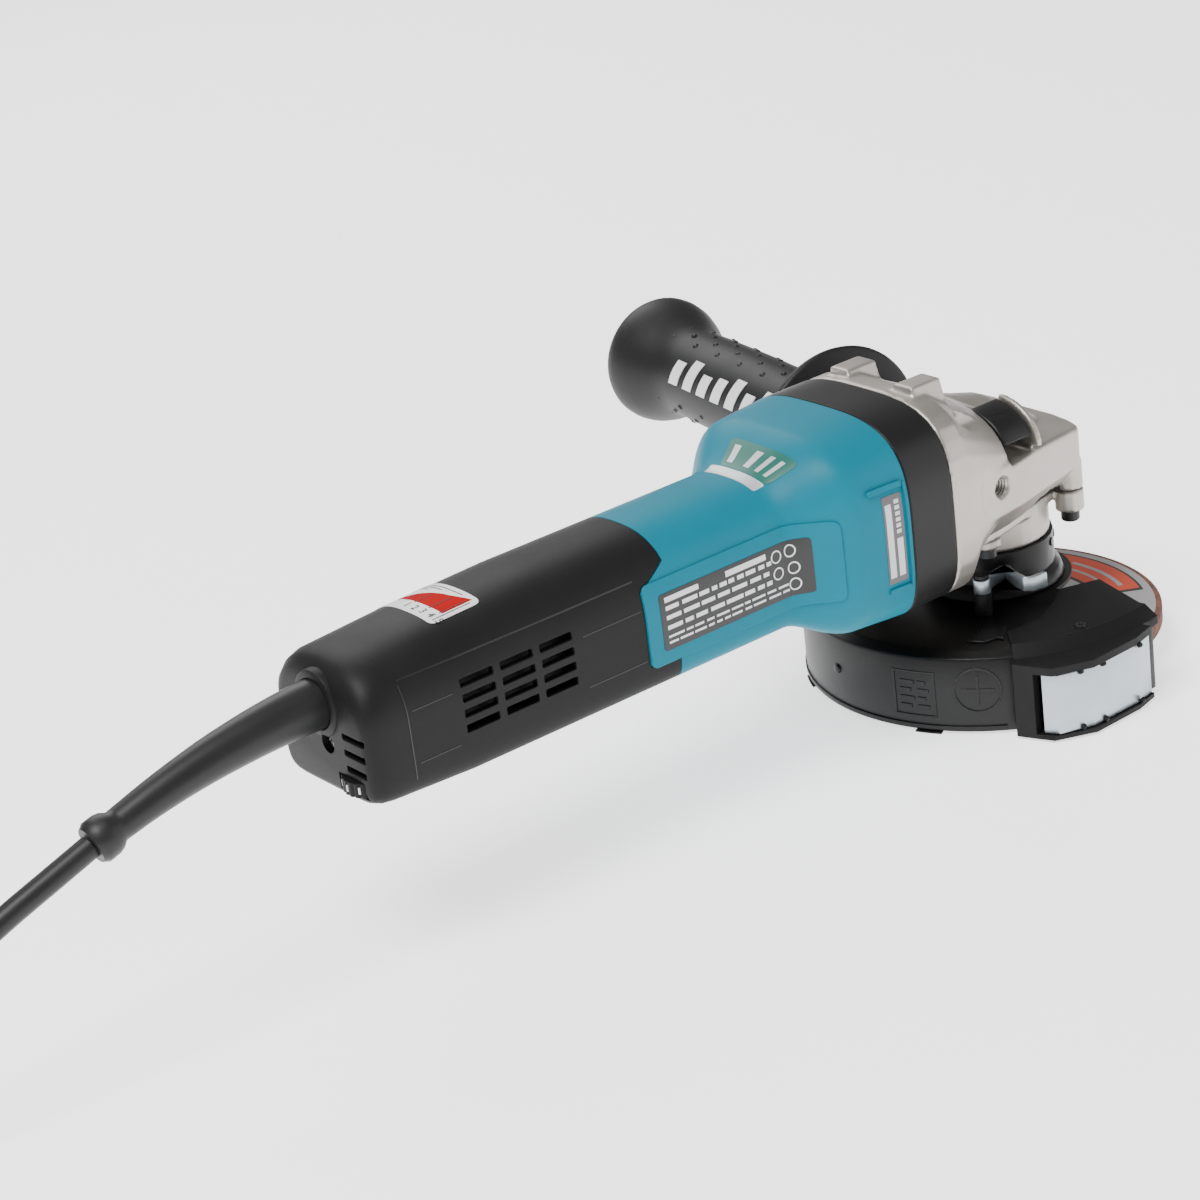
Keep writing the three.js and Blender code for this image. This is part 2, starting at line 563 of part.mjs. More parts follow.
const seatFaces = [HANDLE_AXIS, SPARE_AXIS].map((axis) =>
  rod(13.4, [HANDLE_SEAT, HANDLE_SEAT + 12], axis, 24));
const housingScrewSpots = [[31, 25.5], [-31, 25.5], [31, -25.5], [-31, -25.5]];
const housingScrewBores = housingScrewSpots.map(([y, z]) =>
  rod(2.3, [-60, -44], lengthwise(y, MOTOR_Z + z), 8));
const housingScrewSinks = housingScrewSpots.map(([y, z]) =>
  rod(4.2, [-47.5, -20], lengthwise(y, MOTOR_Z + z), 12));
const earBores = earColumns([HEAD_PARTING_Z - 20, HEAD_PARTING_Z + 9], 2.1);

add('gear_housing', cut(
  union(
    cut(union(headBlock, shoulder, ridge), pocket, nearDeck, farDeck),
    flangeRib(16.5),
    flangeRib(-16.5),
    pocketRib,
    ...earColumns([HEAD_PARTING_Z + GAP / 2, HEAD_PARTING_Z + 11]),
  ),
  chamber, crownRoom, pinionBore, bearingBore, fanRecess, needleBore, lockBore, springWell,
  ...handleBores, ...seatFaces, ...housingScrewBores, ...housingScrewSinks, ...earBores,
), CAST_ALUMINIUM);

housingScrewSpots.forEach(([y, z], k) => {
  const axis = lengthwise(y, MOTOR_Z + z);
  add(`gear_housing_screw_${k + 1}`, union(
    rod(3.6, [-47.2, -43.6], axis, 12),
    rod(2, [FRONT_RING_X + 1, -46], axis, 8),
  ), BLACK_STEEL);
});

// bearing box: the neck under the head
const boxTop = HEAD_PARTING_Z - GAP / 2;
const LOWER_BEARING = { radius: 16, z: [36, 46] };
add('bearing_box', cut(
  union(
    plate(headOutline(9.5), [HEAD_PARTING_Z - 4, boxTop]).intersect(block([-30, 60], [-60, 60], [0, 100])),
    rod(NECK_RADIUS, [NECK_BOTTOM, HEAD_PARTING_Z - 2], Z_AXIS, 32),
    rod(SPIGOT_RADIUS, [SPIGOT_BOTTOM, NECK_BOTTOM + 1], Z_AXIS, 32),
    ...earColumns([EAR_BOTTOM, boxTop]),
  ),
  rod(LOWER_BEARING.radius + GAP, [LOWER_BEARING.z[0] - GAP, HEAD_PARTING_Z + 1], Z_AXIS),
  rod(LOWER_BEARING.radius - 2.5, [SPIGOT_BOTTOM - 1, LOWER_BEARING.z[0] + 1], Z_AXIS),
  ...earColumns([EAR_BOTTOM - 1, HEAD_PARTING_Z + 1], 2.1),
), CAST_ALUMINIUM);
[[1, 1], [1, -1], [-1, 1], [-1, -1]].forEach(([sx, sy], k) => {
  const axis = upright(sx * EAR_OFFSET, sy * EAR_OFFSET);
  add(`bearing_box_screw_${k + 1}`, cut(
    union(
      rod(3.5, [EAR_BOTTOM - GAP - 4, EAR_BOTTOM - GAP], axis, 12),
      rod(1.8, [EAR_BOTTOM - 1, HEAD_PARTING_Z + 8], axis, 8),
    ),
    rod(1.7, [EAR_BOTTOM - 6, EAR_BOTTOM - 2.6], axis, 6),
  ), BLACK_STEEL);
});

// ---------------------------------------------------------------- bevel gears and spindle

const RATIO = RING_TEETH / PINION_TEETH;
const PINION_PITCH_RADIUS = RING_PITCH_RADIUS / RATIO;
const CONE = Math.hypot(RING_PITCH_RADIUS, PINION_PITCH_RADIUS);
const INNER_END = 0.66;             // inner end of the teeth, as a share of the cone
const ADDENDUM = 0.75;
const DEDENDUM = 1.15;
const TOOTH_SHARE = 0.36;           // of the pitch, at the pitch line
const FLANK_SLOPE = 0.36;

// Points round a bevel gear with its apex at the origin and its axis on z, teeth outside.
function bevelRing(teeth, pitchRadius, pitchDepth, scale, phase) {
  const ring = [];
  const pitch = (2 * Math.PI) / teeth;
  const halfTooth = (TOOTH_SHARE / 2) * pitch;
  const spread = (offset) => (FLANK_SLOPE * offset) / pitchRadius;
  const [nr, nz] = [pitchDepth / CONE, pitchRadius / CONE];
  for (let k = 0; k < teeth; k += 1) {
    const middle = (k + phase) * pitch;
    const tip = halfTooth - spread(ADDENDUM);
    const root = halfTooth + spread(DEDENDUM);
    for (const [angle, offset] of [[-root, -DEDENDUM], [-tip, ADDENDUM], [tip, ADDENDUM],
      [root, -DEDENDUM]]) {
      const radius = (pitchRadius + nr * offset) * scale;
      const depth = (pitchDepth - nz * offset) * scale;
      ring.push([radius * Math.cos(middle + angle), radius * Math.sin(middle + angle), -depth]);
    }
  }
  return ring;
}
const circled = (ring, radius, z) => ring.map(([x, y]) => {
  const long = Math.hypot(x, y);
  return [(x / long) * radius, (y / long) * radius, z];
});

const ringBottom = HEAD_PARTING_Z + 6;
const flangeTop = ringBottom + 4;
const ringOuter = bevelRing(RING_TEETH, RING_PITCH_RADIUS, PINION_PITCH_RADIUS, 1, 0)
  .map(([x, y, z]) => [x, y, z + MOTOR_Z]);
const ringInner = bevelRing(RING_TEETH, RING_PITCH_RADIUS, PINION_PITCH_RADIUS, INNER_END, 0)
  .map(([x, y, z]) => [x, y, z + MOTOR_Z]);
const ringGear = cut(
  union(
    toothed([
      circled(ringOuter, RING_PITCH_RADIUS * INNER_END - 2, flangeTop - 1),
      ringOuter,
      ringInner,
    ]),
    turned([
      [SPINDLE_RADIUS + GAP, ringBottom], [LOCK_FLANGE_RADIUS, ringBottom], [LOCK_FLANGE_RADIUS, flangeTop],
      [SPINDLE_RADIUS + GAP, flangeTop],
    ], Z_AXIS, 28),
  ),
  ...Array.from({ length: LOCK_NOTCHES }, (unused, k) => {
    const turn = Math.atan2(LOCK_PIN.y, LOCK_PIN.x) + (k * 2 * Math.PI) / LOCK_NOTCHES;
    return rod(LOCK_PIN.radius + 0.5, [ringBottom - 1, flangeTop + 0.5],
      upright(LOCK_CIRCLE * Math.cos(turn), LOCK_CIRCLE * Math.sin(turn)), 20);
  }),
);
add('ring_gear', ringGear, STEEL);

// The pinion's axis runs back along -X from the same apex.
const pinionFrame = ([x, y, z]) => [z, y, MOTOR_Z - x];
const pinionOuter = bevelRing(PINION_TEETH, PINION_PITCH_RADIUS, RING_PITCH_RADIUS, 1, 0).map(pinionFrame);
const pinionInner = bevelRing(PINION_TEETH, PINION_PITCH_RADIUS, RING_PITCH_RADIUS, INNER_END,
  0).map(pinionFrame);
const roundX = (ring, radius, x) => ring.map(([, y, z]) => {
  const long = Math.hypot(y, z - MOTOR_Z);
  return [x, (y / long) * radius, MOTOR_Z + ((z - MOTOR_Z) / long) * radius];
});
const PINION_BORE = 2.2;
add('pinion', toothed([
  roundX(pinionOuter, PINION_BORE, FRONT_BEARING.x[1] + 1),
  roundX(pinionOuter, 5.4, FRONT_BEARING.x[1] + 1),
  roundX(pinionOuter, 5.4, -RING_PITCH_RADIUS - 2.5),
  pinionOuter,
  pinionInner,
  roundX(pinionInner, PINION_BORE, -RING_PITCH_RADIUS * INNER_END + 0.4),
]), STEEL);

const flangeSeatZ = WHEEL_RIM_Z + WHEEL_THICKNESS + HUB_RISE + GAP;      // top of the wheel's hub
const hubBottomZ = WHEEL_RIM_Z + HUB_RISE;
add('spindle', turned([
  [0, 0], [THREAD_RADIUS - 1, 0], [THREAD_RADIUS, 1], [THREAD_RADIUS, flangeSeatZ + 7],
  [9.5, flangeSeatZ + 7.3], [9.5, LOWER_BEARING.z[0] - GAP], [SPINDLE_RADIUS, LOWER_BEARING.z[0] - GAP],
  [SPINDLE_RADIUS, SPINDLE_TOP - 14], [5, SPINDLE_TOP - 13], [5, SPINDLE_TOP], [0, SPINDLE_TOP],
], Z_AXIS), STEEL);
add('inner_flange', turned([
  [THREAD_RADIUS + GAP, flangeSeatZ - 2], [10.6, flangeSeatZ - 2], [10.6, flangeSeatZ], [21, flangeSeatZ],
  [21, flangeSeatZ + 4], [13, flangeSeatZ + 6.7], [THREAD_RADIUS + GAP, flangeSeatZ + 6.7],
], Z_AXIS), STEEL);
add('wheel', turned([
  [WHEEL_BORE, hubBottomZ], [HUB_RADIUS, hubBottomZ], [HUB_RADIUS + 6, WHEEL_RIM_Z],
  [WHEEL_RADIUS, WHEEL_RIM_Z],
  [WHEEL_RADIUS, WHEEL_RIM_Z + WHEEL_THICKNESS], [HUB_RADIUS + 8, WHEEL_RIM_Z + WHEEL_THICKNESS],
  [HUB_RADIUS + 2, hubBottomZ + WHEEL_THICKNESS], [WHEEL_BORE, hubBottomZ + WHEEL_THICKNESS],
], Z_AXIS, 48), ABRASIVE);
const nutHoles = [0, 1].map((k) =>
  rod(2.4, [hubBottomZ - 8, hubBottomZ - 2.5], upright(15 * (1 - 2 * k), 0), 12));
add('lock_nut', cut(
  turned([
    [THREAD_RADIUS + GAP, hubBottomZ - 6], [11.5, hubBottomZ - 6], [12.5, hubBottomZ - 5],
    [20, hubBottomZ - 5],
    [20, hubBottomZ - GAP], [THREAD_RADIUS + GAP, hubBottomZ - GAP],
  ], Z_AXIS),
  ...nutHoles,
), BLACK_STEEL);
add('spindle_bearing', pipe(SPINDLE_RADIUS + GAP, LOWER_BEARING.radius, LOWER_BEARING.z, Z_AXIS), STEEL);

// ---------------------------------------------------------------- shaft lock

const aboveLow = ([, z]) => z > BUTTON.z + BUTTON.low;
add('lock_button', sideways(
  [...lockArc(0).filter(aboveLow), ...lockArc(-BUTTON.thickness).filter(aboveLow).reverse()],
  BUTTON.x,
), BLACK_PLASTIC);
const pinHeadZ = BUTTON.z + BUTTON.rise - BUTTON.thickness - 3.2;
add('lock_pin', union(
  rod(LOCK_PIN.radius, [flangeTop + 1, pinHeadZ + 0.5], upright(LOCK_PIN.x, LOCK_PIN.y), 16),
  rod(LOCK_PIN.head, [pinHeadZ, pinHeadZ + 1.6], upright(LOCK_PIN.x, LOCK_PIN.y), 16),
), STEEL);

// A coil spring as a bar swept along a helix.
class Helix extends THREE.Curve {
  constructor(radius, turns, [from, to]) {
    super();
    Object.assign(this, { radius, turns, from, to });
  }

  getPoint(t, target = new THREE.Vector3()) {
    const angle = 2 * Math.PI * this.turns * t;
    const z = this.from + (this.to - this.from) * t;
    return target.set(this.radius * Math.cos(angle), this.radius * Math.sin(angle), z);
  }
}
function sweep(curve, radius, steps, sides) {
  const round = new THREE.Shape(Array.from({ length: sides }, (unused, k) => {
    const turn = (2 * Math.PI * k) / sides;
    return new THREE.Vector2(radius * Math.cos(turn), radius * Math.sin(turn));
  }));
  return new THREE.ExtrudeGeometry(round, { steps, bevelEnabled: false, extrudePath: curve });
}
const springSpan = [springFloor + 0.8, pinHeadZ - 0.8];
const lockSpring = sweep(new Helix(3, 5, springSpan), 0.4, 40, 5);
lockSpring.translate(LOCK_PIN.x, LOCK_PIN.y, 0);
add('lock_spring', solid(lockSpring), STEEL);

// ---------------------------------------------------------------- motor

add('armature_shaft', turned([
  [0, REAR_BEARING.x[0] + 0.5], [SHAFT_RADIUS, REAR_BEARING.x[0] + 0.5],
  [SHAFT_RADIUS, FRONT_BEARING.x[1] + 0.4],
  [PINION_BORE - GAP, FRONT_BEARING.x[1] + 0.7], [PINION_BORE - GAP, -RING_PITCH_RADIUS * INNER_END + 0.2],
  [0, -RING_PITCH_RADIUS * INNER_END + 0.2],
], X_AXIS), STEEL);
const slots = Array.from({ length: 8 }, (unused, k) => {
  const turn = (k * 45 + 22.5) * DEG;
  const reach = CORE_RADIUS - 0.6;
  return rod(1.5, [CORE_X[0] - 1, CORE_X[1] + 1],
    lengthwise(reach * Math.cos(turn), MOTOR_Z + reach * Math.sin(turn)), 6);
});
const winding = (x) => turned([
  [SHAFT_RADIUS + GAP, x[0]], [10, x[0]], [12.6, x[0] + 3], [12.6, x[1] - 3], [10, x[1]],
  [SHAFT_RADIUS + GAP, x[1]],
], X_AXIS);
add('armature_core', union(
  cut(pipe(SHAFT_RADIUS + GAP, CORE_RADIUS, CORE_X, X_AXIS), ...slots),
  winding([CORE_X[0] - 9, CORE_X[0] + 2]),
  winding([CORE_X[1] - 2, CORE_X[1] + 9]),
), LAMINATION);
add('commutator', pipe(SHAFT_RADIUS + GAP, COMMUTATOR.radius, COMMUTATOR.x, X_AXIS), COPPER);
add('rear_bearing', pipe(SHAFT_RADIUS + GAP, REAR_BEARING.radius, REAR_BEARING.x, X_AXIS), STEEL);
add('front_bearing', pipe(SHAFT_RADIUS + GAP, FRONT_BEARING.radius, FRONT_BEARING.x, X_AXIS), STEEL);

const FAN_BLADES = 13;
const bladeSet = Array.from({ length: FAN_BLADES }, (unused, k) => {
  const blade = new THREE.BoxGeometry(FAN_X[1] - FAN_X[0] - 3, 1.6, FAN_RADIUS - 12.5);
  blade.translate((FAN_X[0] + FAN_X[1]) / 2 - 1.5, 0, (FAN_RADIUS + 11.5) / 2);
  blade.applyMatrix4(new THREE.Matrix4().makeRotationX((k * 2 * Math.PI) / FAN_BLADES));
  blade.translate(0, 0, MOTOR_Z);
  return solid(blade);
});
add('fan', union(
  turned([
    [SHAFT_RADIUS + GAP, FAN_X[0]], [8, FAN_X[0]], [12, FAN_X[1] - 4], [FAN_RADIUS, FAN_X[1] - 3.2],
    [FAN_RADIUS, FAN_X[1]], [SHAFT_RADIUS + GAP, FAN_X[1]],
  ], X_AXIS, 32),
  ...bladeSet,
), BLACK_PLASTIC);

// field: a laminated ring with two poles, and a coil round each pole
const poleCut = [1, -1].map((side) => block(
  [CORE_X[0] - 1, CORE_X[1] + 1],
  side > 0 ? [9, 17.6] : [-17.6, -9],
  [MOTOR_Z - 12.6, MOTOR_Z + 12.6],
));
add('stator_core', cut(
  pipe(CORE_RADIUS + 0.6, STATOR_RADIUS, CORE_X, X_AXIS, 48),
  ...poleCut,
), LAMINATION);
for (const [name, side] of [['field_coil_left', 1], ['field_coil_right', -1]]) {
  const y = side > 0 ? [CORE_RADIUS + 1, 17.2] : [-17.2, -CORE_RADIUS - 1];
  const outer = block([CORE_X[0] - 8, CORE_X[1] + 8], y, [MOTOR_Z - 8.6, MOTOR_Z + 8.6]);
  add(name, outer, COPPER);
}

// brushes stand on both sides of the commutator
for (const [name, side] of [['left', 1], ['right', -1]]) {
  const reach = (from, to) => (side > 0 ? [from, to] : [-to, -from]);
  const x = [BRUSH_X - HOLDER.halfLength, BRUSH_X + HOLDER.halfLength];
  const z = [MOTOR_Z - HOLDER.halfHeight, MOTOR_Z + HOLDER.halfHeight];
  const inside = [[x[0] + 1.6, x[1] - 1.6], [z[0] + 1.6, z[1] - 1.6]];
  add(`brush_holder_${name}`, cut(
    block(x, reach(HOLDER.inner, HOLDER.outer), z),
    block(inside[0], reach(HOLDER.inner - 1, HOLDER.outer - 1.5), inside[1]),
  ), BLACK_STEEL);
  add(`brush_${name}`, block(
    [inside[0][0] + GAP, inside[0][1] - GAP],
    reach(COMMUTATOR.radius + GAP, HOLDER.outer - 4.5),
    [inside[1][0] + GAP, inside[1][1] - GAP],
  ), CARBON);
}

// ---------------------------------------------------------------- switch, dial and electronics

const knobY = TRUNK_HALF_WIDTH + GAP;
add('switch_knob', union(
  block([SWITCH_X[0] + 1, SWITCH_X[1] - 1], [knobY, knobY + 2.6], SWITCH_Z),
  block([SWITCH_X[0] + 4, SWITCH_X[0] + 7], [knobY + 1, knobY + 4], SWITCH_Z),
  block([SWITCH_X[1] - 7, SWITCH_X[1] - 4], [knobY + 1, knobY + 4.6], SWITCH_Z),
  block([SWITCH_X[0] + 6, SWITCH_X[1] - 6], [RAIL.y[1] + GAP, knobY + 1],
    [SWITCH_Z[0] + 2.6, SWITCH_Z[1] - 2.6]),
), BLACK_PLASTIC);
const SWITCH_BODY = { x: [-250, -222], y: [6, 20.5], z: [MOTOR_Z - 10, MOTOR_Z + 11] };
add('switch_rod', block([SWITCH_BODY.x[1] + 0.5, SWITCH_X[1] - 6], RAIL.y, RAIL.z), BLACK_STEEL);
add('switch_body', block(SWITCH_BODY.x, SWITCH_BODY.y, SWITCH_BODY.z), BLACK_PLASTIC);
add('control_module', union(
  block([-262, -206], [-20.5, -17.5], [MOTOR_Z - 16, MOTOR_Z + 11]),
  block([-256, -214], [-18, -7], [MOTOR_Z - 12, MOTOR_Z + 9]),
), BOARD);
const dialRibs = Array.from({ length: 12 }, (unused, k) => {
  const turn = (2 * Math.PI * k) / 12;
  const axis = upright(DIAL.x + DIAL.radius * Math.cos(turn), DIAL.y + DIAL.radius * Math.sin(turn));
  return rod(0.8, [DIAL.z - 1, DIAL.z + DIAL.height + 1], axis, 6);
});
add('speed_dial', cut(
  rod(DIAL.radius, [DIAL.z, DIAL.z + DIAL.height], upright(DIAL.x, DIAL.y), 24),
  ...dialRibs,
), BLACK_PLASTIC);

// ---------------------------------------------------------------- guard

// Outline points on a circle round the spindle, from one angle to another, in degrees.
const arc = (radius, from, to, steps) => Array.from({ length: steps + 1 }, (unused, k) => {
  const turn = (from + ((to - from) * k) / steps) * DEG;
  return [radius * Math.cos(turn), radius * Math.sin(turn)];
});
const guardSpan = [180 - GUARD_HALF_ANGLE, 180 + GUARD_HALF_ANGLE];
const wedge = (radius, [z0, z1], [from, to] = guardSpan) =>
  plate([[0, 0], ...arc(radius, from, to, 24)], [z0, z1]);
const collarOuter = SPIGOT_RADIUS + GAP + COLLAR_WALL;
const plateInner = collarOuter + GAP;
const wallTop = GUARD_TOP - GUARD_CHAMFER;
const bowlSides = 60;
const bowl = turned([
  [plateInner, GUARD_TOP], [plateInner, GUARD_TOP - GUARD_WALL], [GUARD_RADIUS - 4.6, GUARD_TOP - GUARD_WALL],
  [GUARD_RADIUS - GUARD_WALL, wallTop - 0.6], [GUARD_RADIUS - GUARD_WALL, GUARD_BOTTOM],
  [GUARD_RADIUS, GUARD_BOTTOM],
  [GUARD_RADIUS, wallTop], [GUARD_RADIUS - 4, GUARD_TOP],
], Z_AXIS, bowlSides);
const plateRing = turned([
  [plateInner, GUARD_TOP], [plateInner, GUARD_TOP - GUARD_WALL],
  [PLATE_RING_RADIUS, GUARD_TOP - GUARD_WALL], [PLATE_RING_RADIUS, GUARD_TOP],
], Z_AXIS, bowlSides);
add('guard_shell', union(
  bowl.intersect(wedge(100, [GUARD_BOTTOM - 1, GUARD_TOP + 1])),
  plateRing,
), BLACK_STEEL);

// collar that closes on the bearing box, with index holes
const collarTop = NECK_BOTTOM - GAP;
const indexHoles = Array.from({ length: 9 }, (unused, k) => {
  const turn = (-60 + 20 * k) * DEG;
  const outward = new THREE.Vector3(Math.cos(turn), Math.sin(turn), 0);
  return rod(1.3, [10, 40], alongAxis(outward, new THREE.Vector3(0, 0, collarTop - 3.4)), 6);
});
add('guard_collar', cut(
  turned([
    [SPIGOT_RADIUS + GAP, GUARD_TOP - GUARD_WALL], [collarOuter, GUARD_TOP - GUARD_WALL],
    [collarOuter, GUARD_TOP + GAP],
    [27.5, GUARD_TOP + GAP], [26, GUARD_TOP + 4], [collarOuter, GUARD_TOP + 5.5],
    [collarOuter, collarTop], [SPIGOT_RADIUS + GAP, collarTop],
  ], Z_AXIS, 24),
  ...indexHoles,
), BLACK_STEEL);

// lever with a V that drops into an index hole, on a pin that stands on the guard
const LEVER = { z: [GUARD_TOP + 9, GUARD_TOP + 14.5], thickness: 1.8, pivot: [-28.5, -25] };
const strip = (points, thickness) => {
  const left = [];
  const right = [];
  points.forEach((point, k) => {
    const before = points[Math.max(k - 1, 0)];
    const after = points[Math.min(k + 1, points.length - 1)];
    const heading = Math.atan2(after[1] - before[1], after[0] - before[0]);
    const [nx, ny] = [-Math.sin(heading), Math.cos(heading)];
    left.push([point[0] + (nx * thickness) / 2, point[1] + (ny * thickness) / 2]);
    right.unshift([point[0] - (nx * thickness) / 2, point[1] - (ny * thickness) / 2]);
  });
  return [...left, ...right];
};
const leverRoot = [LEVER.pivot[0] + 2, LEVER.pivot[1]];
const leverBend = [[-16.5, -23.2], [-14.6, -23.9], [-17.5, -31], [-18.6, -37], [-16.8, -38.8],
  [-10.5, -39.6]];
add('guard_lever', union(
  plate(strip([leverRoot, ...leverBend], LEVER.thickness), LEVER.z),
  pipe(1.8, 3.2, LEVER.z, upright(...LEVER.pivot), 20),
), ZINC);
add('lever_pin', union(
  rod(1.5, [GUARD_TOP + GAP, LEVER.z[1] + 1.6], upright(...LEVER.pivot), 16),
  rod(2.8, [LEVER.z[1] + GAP, LEVER.z[1] + 1.6], upright(...LEVER.pivot), 16),
  rod(3.2, [GUARD_TOP + GAP, LEVER.z[0] - GAP], upright(...LEVER.pivot), 16),
), BLACK_STEEL);

// clip-on cover that closes the underside for cutting, with hooks under the guard's edge
const coverSpan = [180 - GUARD_HALF_ANGLE + 4, 180 + GUARD_HALF_ANGLE - 4];
const coverRadius = GUARD_RADIUS - GUARD_WALL - GAP;
const coverPlate = plate(
  [...arc(coverRadius, coverSpan[0], coverSpan[1], 36), ...arc(26, coverSpan[1], coverSpan[0], 18)],
  [GUARD_BOTTOM, GUARD_BOTTOM + 2.4],
);
const hooks = [112, 150, 205, 238].map((middle) => plate(
  [...arc(GUARD_RADIUS + 0.8, middle - 4, middle + 4, 3), ...arc(coverRadius - 5, middle + 4, middle - 4, 3)],
  [FLOOR_Z, GUARD_BOTTOM - GAP],
));
const hookStems = [112, 150, 205, 238].map((middle) => plate(
  [...arc(coverRadius - 1, middle - 4, middle + 4, 3), ...arc(coverRadius - 5, middle + 4, middle - 4, 3)],
  [GUARD_BOTTOM - GAP - 0.1, GUARD_BOTTOM + 1],
));
add('cutting_cover', union(coverPlate, ...hooks, ...hookStems), BLACK_PLASTIC);

// latch holder on the near end of the guard, and the bent plate that latches it
const wallGap = GUARD_RADIUS + GAP;
const holderFoot = arc(wallGap, 231, 272, 10);
const beyond = (distance, degrees) => arc(GUARD_RADIUS + distance, degrees, degrees, 1)[0];
const holderRim = [
  beyond(4.6, 272.6), beyond(7.5, 265), beyond(13.1, 249.7), beyond(13.1, 238.8), beyond(9.3, 234.9),
  beyond(5.4, 230.2),
];
const flapTop = GUARD_TOP + 1.3;
const rimTop = wallTop + 0.6;
const overChamfer = turned([
  [GUARD_RADIUS - 7, GUARD_TOP + GAP], [GUARD_RADIUS - 7, flapTop], [GUARD_RADIUS - 3.6, flapTop],
  [wallGap + 1.2, rimTop], [wallGap + 1.2, rimTop - 3], [wallGap, rimTop - 3], [wallGap, wallTop + GAP],
  [GUARD_RADIUS - 3.8, GUARD_TOP + GAP],
].reverse(), Z_AXIS, bowlSides).intersect(wedge(100, [0, 50], [231, 279]));
const flapPlan = [
  beyond(-14.4, 230.6), ...arc(GUARD_RADIUS - 6, 231, 279, 8), beyond(-29.4, 293.8), [2.5, -33.5], [-9, -40], [-22, -46],
];
const lipZ = [GUARD_BOTTOM, GUARD_BOTTOM + 1.8];
add('latch_holder', union(
  plate(flapPlan, [GUARD_TOP + GAP, flapTop]),
  overChamfer,
  plate([...holderFoot, ...holderRim], [rimTop - 3, rimTop]),
  plate([...holderFoot, ...holderRim], lipZ),
  plate([...arc(wallGap, 231, 236, 2), beyond(7.3, 236.6), beyond(9.3, 234.9), beyond(5.4, 230.2)],
    [GUARD_BOTTOM, rimTop]),
  plate([...arc(wallGap, 243, 268, 8), beyond(3, 269.2), beyond(9.6, 249), beyond(9.3, 243.3)],
    [GUARD_BOTTOM, rimTop]),
), BLACK_PLASTIC);
const LATCH = { z: [lipZ[1] + GAP, rimTop - 3 - GAP], thickness: 1.2 };
const latchBend = [
  beyond(9.3, 237.05), beyond(12.2, 240.4), beyond(11.3, 249.2), beyond(5.9, 264.85), beyond(3.6, 272),
];
add('cover_latch', plate(strip(latchBend, LATCH.thickness), LATCH.z), ZINC);

// ---------------------------------------------------------------- side handle

const seat = HANDLE_SEAT + GAP;
const gripEnd = HANDLE_SEAT + HANDLE_LENGTH;
add('handle_grip', turned([
  [10.3, seat + 7], [14, seat + 7], [HANDLE_FLANGE_RADIUS - 1, seat + 8.2],
  [HANDLE_FLANGE_RADIUS, seat + 9.6],
  [HANDLE_FLANGE_RADIUS - 0.6, seat + 11.4], [22, seat + 13.6], [HANDLE_GRIP_RADIUS + 0.4, seat + 16.5],
  [HANDLE_GRIP_RADIUS - 0.6, seat + 22],
  [HANDLE_GRIP_RADIUS, seat + 45], [HANDLE_GRIP_RADIUS + 0.2, seat + 75],
  [HANDLE_GRIP_RADIUS - 0.4, gripEnd - 38],
  [HANDLE_GRIP_RADIUS + 1.2, gripEnd - 29], [HANDLE_KNOB_RADIUS - 2.6, gripEnd - 19],
  [HANDLE_KNOB_RADIUS - 0.2, gripEnd - 12],
  [HANDLE_KNOB_RADIUS, gripEnd - 8], [HANDLE_KNOB_RADIUS - 2.2, gripEnd - 3.6],
  [HANDLE_KNOB_RADIUS - 7, gripEnd - 1],
  [HANDLE_KNOB_RADIUS - 14, gripEnd], [10.3, gripEnd],
], HANDLE_AXIS, 28), RUBBER);
add('handle_core', turned([
  [STUD_RADIUS + GAP, seat], [12.5, seat], [12.5, seat + 6.6], [10, seat + 6.8], [10, gripEnd - 1.5],
  [0, gripEnd - 1.5], [0, seat + 26], [STUD_RADIUS + GAP, seat + 26],
], HANDLE_AXIS, 16), BLACK_PLASTIC);
add('handle_stud', rod(STUD_RADIUS, [seat - 14, seat + 25.5], HANDLE_AXIS, 20), STEEL);

// ---------------------------------------------------------------- cord

// Strain relief: a tapered sleeve that droops from the tail.
const bootRoute = new THREE.CatmullRomCurve3([
  [-282, CORD_EXIT_Z + 0.2], [-292, CORD_EXIT_Z + 0.2], [-302, CORD_EXIT_Z], [-312, CORD_EXIT_Z - 0.5],
  [-325, CORD_EXIT_Z - 1.8],
  [-341, CORD_EXIT_Z - 4.2], [-360, CORD_EXIT_Z - 8.4], [-382, CORD_EXIT_Z - 14.8],
].map(([x, z]) => new THREE.Vector3(x, 0, z)));
function sleeve(curve, radii, sides) {
  return loft(radii.map(([share, radius]) => {
    const middle = curve.getPoint(share);
    const heading = curve.getTangent(share);
    const side = new THREE.Vector3(0, 1, 0);
    const over = new THREE.Vector3().crossVectors(heading, side);
    return Array.from({ length: sides }, (unused, k) => {
      const turn = (2 * Math.PI * k) / sides;
      const rim = middle.clone().addScaledVector(side, radius * Math.cos(turn));
      return rim.addScaledVector(over, radius * Math.sin(turn)).toArray();
    });
  }));
}
add('cord_guard', sleeve(bootRoute, [
  [0, 6], [0.02, BOOT_FLANGE_RADIUS], [0.083, BOOT_FLANGE_RADIUS], [0.088, BOOT_RADIUS],
  [0.22, BOOT_RADIUS - 0.2], [0.37, 7.8],
  [0.52, 7.1],
  [0.67, 6.3], [0.82, 5.7], [0.93, 5.5], [0.94, 7.4], [0.985, 7.4], [1, 6.4],
], 16), RUBBER);

